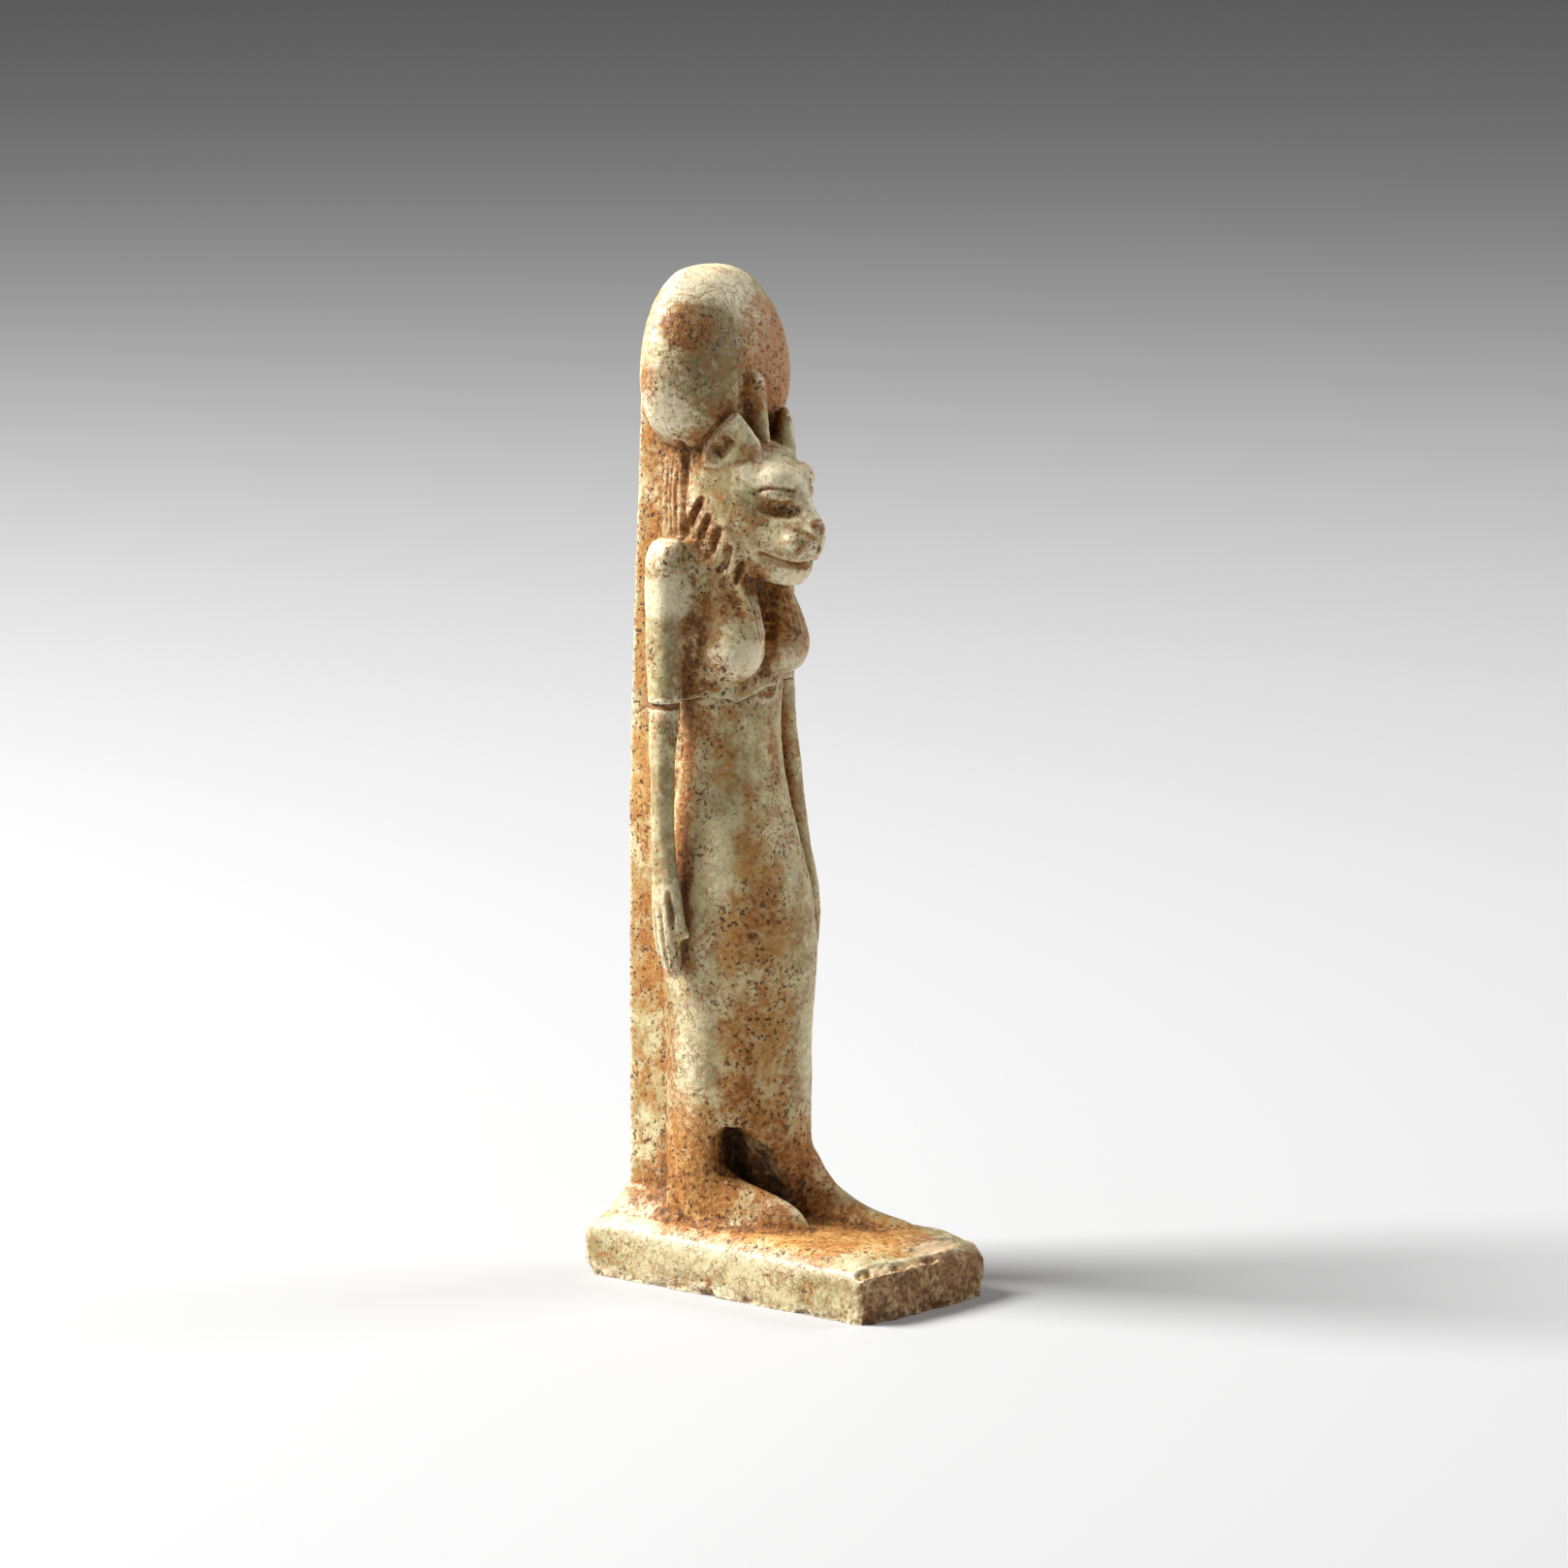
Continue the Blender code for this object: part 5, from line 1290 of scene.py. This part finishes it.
def glazed_composition():
    """Pale crazed glaze over a sandy body, warm where it is thin, with earth in the hollows, painted shade
    deep in them and painted highlight on lit tops and edges.
    """
    finish = Finish("glazed_composition")
    mix, ramp, stored = finish.mix, finish.ramp, finish.stored
    place = finish.node("ShaderNodeTexCoord", {}, {}, output=3)
    stray = finish.vectors("SUBTRACT", {0: finish.cloud(place, STRAY, 2.0, output=1), 1: (0.5, 0.5, 0.5)})
    stray = finish.vectors("SCALE", {0: stray, 3: STRAYING})
    strayed = finish.vectors("ADD", {0: place, 1: stray})

    broad = finish.cloud(place, BROAD)
    blotch = finish.cloud(place, BLOTCH, 5.0, 0.62)
    grain = finish.cloud(place, GRAIN, 4.0, 0.65)
    sand = finish.cloud(place, SAND, 2.0, 0.6)
    # The two that break up the edge of every stain, either side of nothing
    lumpy, gritty = blotch - 0.5, grain - 0.5

    recess, ridge, earth = stored("recess"), stored("ridge"), stored("earth")
    warm, deep_shade_and_dirt, broken = stored("warm"), stored("deep_shade_and_dirt"), stored("broken")

    # Pale glaze, greener where it lies thick and warm where it is thin
    thick, pale_and_lit = stored("thick"), stored("pale_and_lit")
    green = ramp(broad * 0.5 + blotch * 0.5 + thick * 0.08 - pale_and_lit * 0.08, 0.4, 0.58)
    colour = mix(green * 0.85, GLAZE, GLAZE_GREEN)
    colour = mix(ramp(thick + lumpy * 1.6 + gritty, 0.2, 1.0) * 0.65, colour, GLAZE_DEEP)
    thin = ramp(warm - pale_and_lit * 0.3 + (broad - 0.5) * 1.4 + lumpy * 1.8 + gritty * 0.8, 0.1, 0.9)
    bare = mix(stored("rosy"), mix(ramp(blotch, 0.4, 0.62), WARM_BODY, WARM_DEEP), ROSE_BODY)
    colour = mix(thin * 0.85, colour, bare)
    # Worn ridges rubbed pale, and painted highlight on the lit tops and edges that the pale patches mark
    worn = ramp(ridge + pale_and_lit * 0.6 + gritty * 0.9 + lumpy * 0.9, 0.15, 0.8)
    colour = mix(worn * (0.75 - warm * 0.5), colour, RUBBED_AND_LIT)
    # Painted shade: a darker tan multiplied in wherever nearby parts shut the skin in
    colour = mix((1 - stored("open")) * 0.8, colour, OCCLUSION_SHADE, "MULTIPLY")

    # Crazing, in two sizes of cell, broken off here and there
    coarse = 1 - ramp(finish.cells(strayed, COARSE_CRAZE, "DISTANCE_TO_EDGE"), 0.0, 0.075)
    fine = 1 - ramp(finish.cells(strayed, FINE_CRAZE, "DISTANCE_TO_EDGE"), 0.0, 0.08)
    unbroken = ramp(finish.cloud(place, CRAZE_GAPS, 2.0), 0.36, 0.52)
    craze = finish.larger(coarse, fine * ramp(blotch, 0.48, 0.6) * 0.5) * unbroken
    craze = craze * (stored("crazed") * 0.85 + 0.15) * (1 - broken)
    colour = mix(craze * 0.75, colour, CRAZE_BROWN)

    # Earth rubbed into the surface, in granular patches and in every hollow
    wash = ramp(earth + recess * 0.6 + lumpy * 1.2, 0.05, 0.9)
    colour = mix(wash * 0.42, colour, EARTH_LIGHT)
    soil = ramp(earth + recess * 0.7 + lumpy * 1.6 + gritty * 2.2, 0.3, 1.1)
    deep = ramp(earth * 0.65 + recess * 0.7 + gritty * 2.2 + lumpy, 0.5, 1.15)
    colour = mix(soil * 0.75, colour, EARTH_LIGHT)
    colour = mix(deep * 0.8, colour, EARTH_DARK)

    # Specks of earth scattered over the glaze, thicker in drifts
    # Fewer specks where the glaze is clean and pale and where highlight is painted
    speck_share = 1 - ramp(pale_and_lit + lumpy, 0.1, 0.9) * 0.65
    drifts = ramp(finish.cloud(place, DRIFT) + warm * 0.12 + recess * 0.1, 0.42, 0.62)
    mottle = ramp(grain * 0.65 + blotch * 0.35, 0.47, 0.6) * (0.2 + drifts * 0.8)
    colour = mix(mottle * speck_share * 0.5, colour, EARTH_LIGHT)
    granular = finish.cloud(place, FLECKS, 4.0, 0.75)
    flecks = ramp(granular + lumpy * 0.3, 0.5, 0.58) * (0.45 + drifts * 0.55)
    colour = mix(flecks * speck_share * 0.72, colour, mix(ramp(grain, 0.4, 0.6), WARM_DEEP, EARTH_LIGHT))
    spot = finish.cells(strayed, SPECKS, "F1") + (sand - 0.5) * 0.25
    reach = finish.draw(strayed, SPECKS) * 0.44 - 0.15
    dots = (1 - ramp(spot, reach, reach + 0.07)) * (0.4 + drifts * 0.6)
    ragged = ramp(finish.cloud(place, RAGGED_SPECKS, 1.5, 0.5), 0.6, 0.66) * (0.3 + drifts * 0.7)
    specks = finish.larger(dots, ragged)
    colour = mix(specks * speck_share * 0.9, colour, EARTH_DARK)

    # Breaks and filler
    colour = mix(broken * ramp(blotch + grain * 0.5, 0.4, 0.8) * 0.9, colour, BROKEN_CORE)
    colour = mix(broken * ramp(blotch * 0.5 + grain * 0.5, 0.44, 0.6) * 0.7, colour, EARTH_DARK)
    colour = mix(ramp(stored("fresh") + lumpy * 1.6 + gritty, 0.35, 0.6) * 0.85, colour, FRESH_BREAK)
    colour = mix(ramp(stored("filler") + gritty * 1.2, 0.3, 0.6), colour, FILLER)

    # The mended break: a painted highlight along its lip above a thin painted shadow line
    uneven = stored("off_break") + gritty * 0.35
    lip = ramp(uneven, 0.0, 0.06) * (1 - ramp(uneven, 0.06, 0.16)) * ramp(blotch, 0.35, 0.6)
    line = ramp(uneven, -0.12, -0.04) * (1 - ramp(uneven, -0.03, 0.03)) * ramp(blotch, 0.3, 0.6)
    colour = mix(lip * 0.7, colour, RUBBED_AND_LIT)
    colour = mix(line * 0.8, colour, EARTH_DARK)

    # Painted deep shade with the dirt in hollows, and the pin holes of gas and sand
    large = 1 - ramp(finish.cells(place, PIN_HOLES, "F1"), 0.04, 0.1)
    large = large * ramp(finish.draw(place, PIN_HOLES), 0.5, 0.55)
    small = 1 - ramp(finish.cells(place, SMALL_HOLES, "F1"), 0.05, 0.13)
    small = small * ramp(finish.draw(place, SMALL_HOLES, output=1), 0.45, 0.5)
    pits = finish.larger(large, small * (0.25 + drifts * 0.75))
    # Painted deep shade and dirt, laid on in dark brown
    colour = mix(ramp(deep_shade_and_dirt + gritty * 0.9, 0.25, 1.0), colour, SHADE_AND_DIRT_BROWN)
    colour = mix(pits * 0.9, colour, PIT_BLACK)
    finish.feed(finish.surface.inputs["Base Color"], colour)

    rubbed_dull = 0.44 + soil * 0.26 + thin * 0.1 + broken * 0.2 + craze * 0.1
    finish.feed(finish.surface.inputs["Roughness"], rubbed_dull)
    height = grain * 0.5 + blotch * 0.4 + sand * (0.12 + soil * 0.35 + broken * 0.5)
    height = height - craze * 0.3 - pits * 1.1 - specks * 0.2 - line * 0.8
    sockets = {"Strength": RELIEF_STRENGTH, "Distance": RELIEF_DEPTH, "Height": height}
    relief = finish.node("ShaderNodeBump", {}, sockets)
    finish.feed(finish.surface.inputs["Normal"], relief)
    finish.surface.inputs["Specular IOR Level"].default_value = 0.45
    return finish.material


def figure():
    """The whole figure as one skin, carved, worn and stained, with painted shade and highlight."""
    lumps = figure_lumps()
    skin = Skin(melted(lumps, "glazed_figure"))
    blended(skin)
    skin.aim = skin.directions()
    carve_head(skin)
    carve_face(skin)
    carve_body(skin)
    skin.write()
    skin.aim = skin.directions(3)
    wear(skin)
    skin.write()
    level_underside(skin)
    light = lightened(skin.mesh)
    held_in(light, *SOLID_BOX)
    light.name = "glazed_figure"
    light.shade_smooth()
    final = Skin(light)
    stain_and_paint_light(final)
    light.materials.clear()
    light.materials.append(glazed_composition())
    piece = bpy.data.objects.new("glazed_figure", light)
    bpy.context.scene.collection.objects.link(piece)
    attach(piece, "root")
    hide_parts("figure")
    return piece


# The photograph's viewpoint, in metres and degrees
CAMERA_PLACE = (-0.551167, -0.484384, 0.163295)
CAMERA_BEARING = -48.68
CAMERA_PITCH = 8.94
CAMERA_LENS = 182.25
SENSOR = 36.0
AIM_AT = (0.0, 0.0, 0.045)


def camera():
    data = bpy.data.cameras.new("view")
    data.lens = CAMERA_LENS
    data.sensor_width = SENSOR
    data.clip_start = 0.01
    data.clip_end = 50.0
    eye = bpy.data.objects.new("view", data)
    eye.location = CAMERA_PLACE
    eye.rotation_euler = (math.radians(90 - CAMERA_PITCH), 0, math.radians(CAMERA_BEARING))
    bpy.context.scene.collection.objects.link(eye)
    bpy.context.scene.camera = eye


FLOOR_SIDE = 24.0
FLOOR_ROUGHNESS = 0.8
FLOOR_COLOUR = (0.45, 0.45, 0.45, 1.0)


def floor():
    slab = bmesh.new()
    bmesh.ops.create_grid(slab, x_segments=1, y_segments=1, size=FLOOR_SIDE / 2)
    mesh = bpy.data.meshes.new("floor")
    slab.to_mesh(mesh)
    slab.free()
    finish = Finish("floor_paper")
    finish.surface.inputs["Base Color"].default_value = FLOOR_COLOUR
    finish.surface.inputs["Roughness"].default_value = FLOOR_ROUGHNESS
    mesh.materials.append(finish.material)
    sheet = bpy.data.objects.new("floor", mesh)
    bpy.context.scene.collection.objects.link(sheet)


# Soft lights: place, side of the lamp and strength
LIGHTS = {
    "key": ((-0.38, 0.52, 0.70), 0.40, 22.0),
    "side": ((0.66, -0.36, 0.52), 0.40, 3.6),
}
SKY = (1.0, 1.0, 1.0, 1.0)
SKY_STRENGTH = 0.17


def lights():
    for name, (place, side, power) in LIGHTS.items():
        lamp = bpy.data.lights.new(name, "AREA")
        lamp.size = side
        lamp.energy = power
        holder = bpy.data.objects.new(name, lamp)
        holder.location = place
        holder.rotation_euler = (Vector(AIM_AT) - Vector(place)).to_track_quat("-Z", "Y").to_euler()
        bpy.context.scene.collection.objects.link(holder)
    world = bpy.data.worlds.new("studio")
    world.use_nodes = True
    world.node_tree.nodes["Background"].inputs["Color"].default_value = SKY
    world.node_tree.nodes["Background"].inputs["Strength"].default_value = SKY_STRENGTH
    bpy.context.scene.world = world
    bpy.context.scene.view_settings.view_transform = "Standard"


camera()
lights()
floor()
figure()
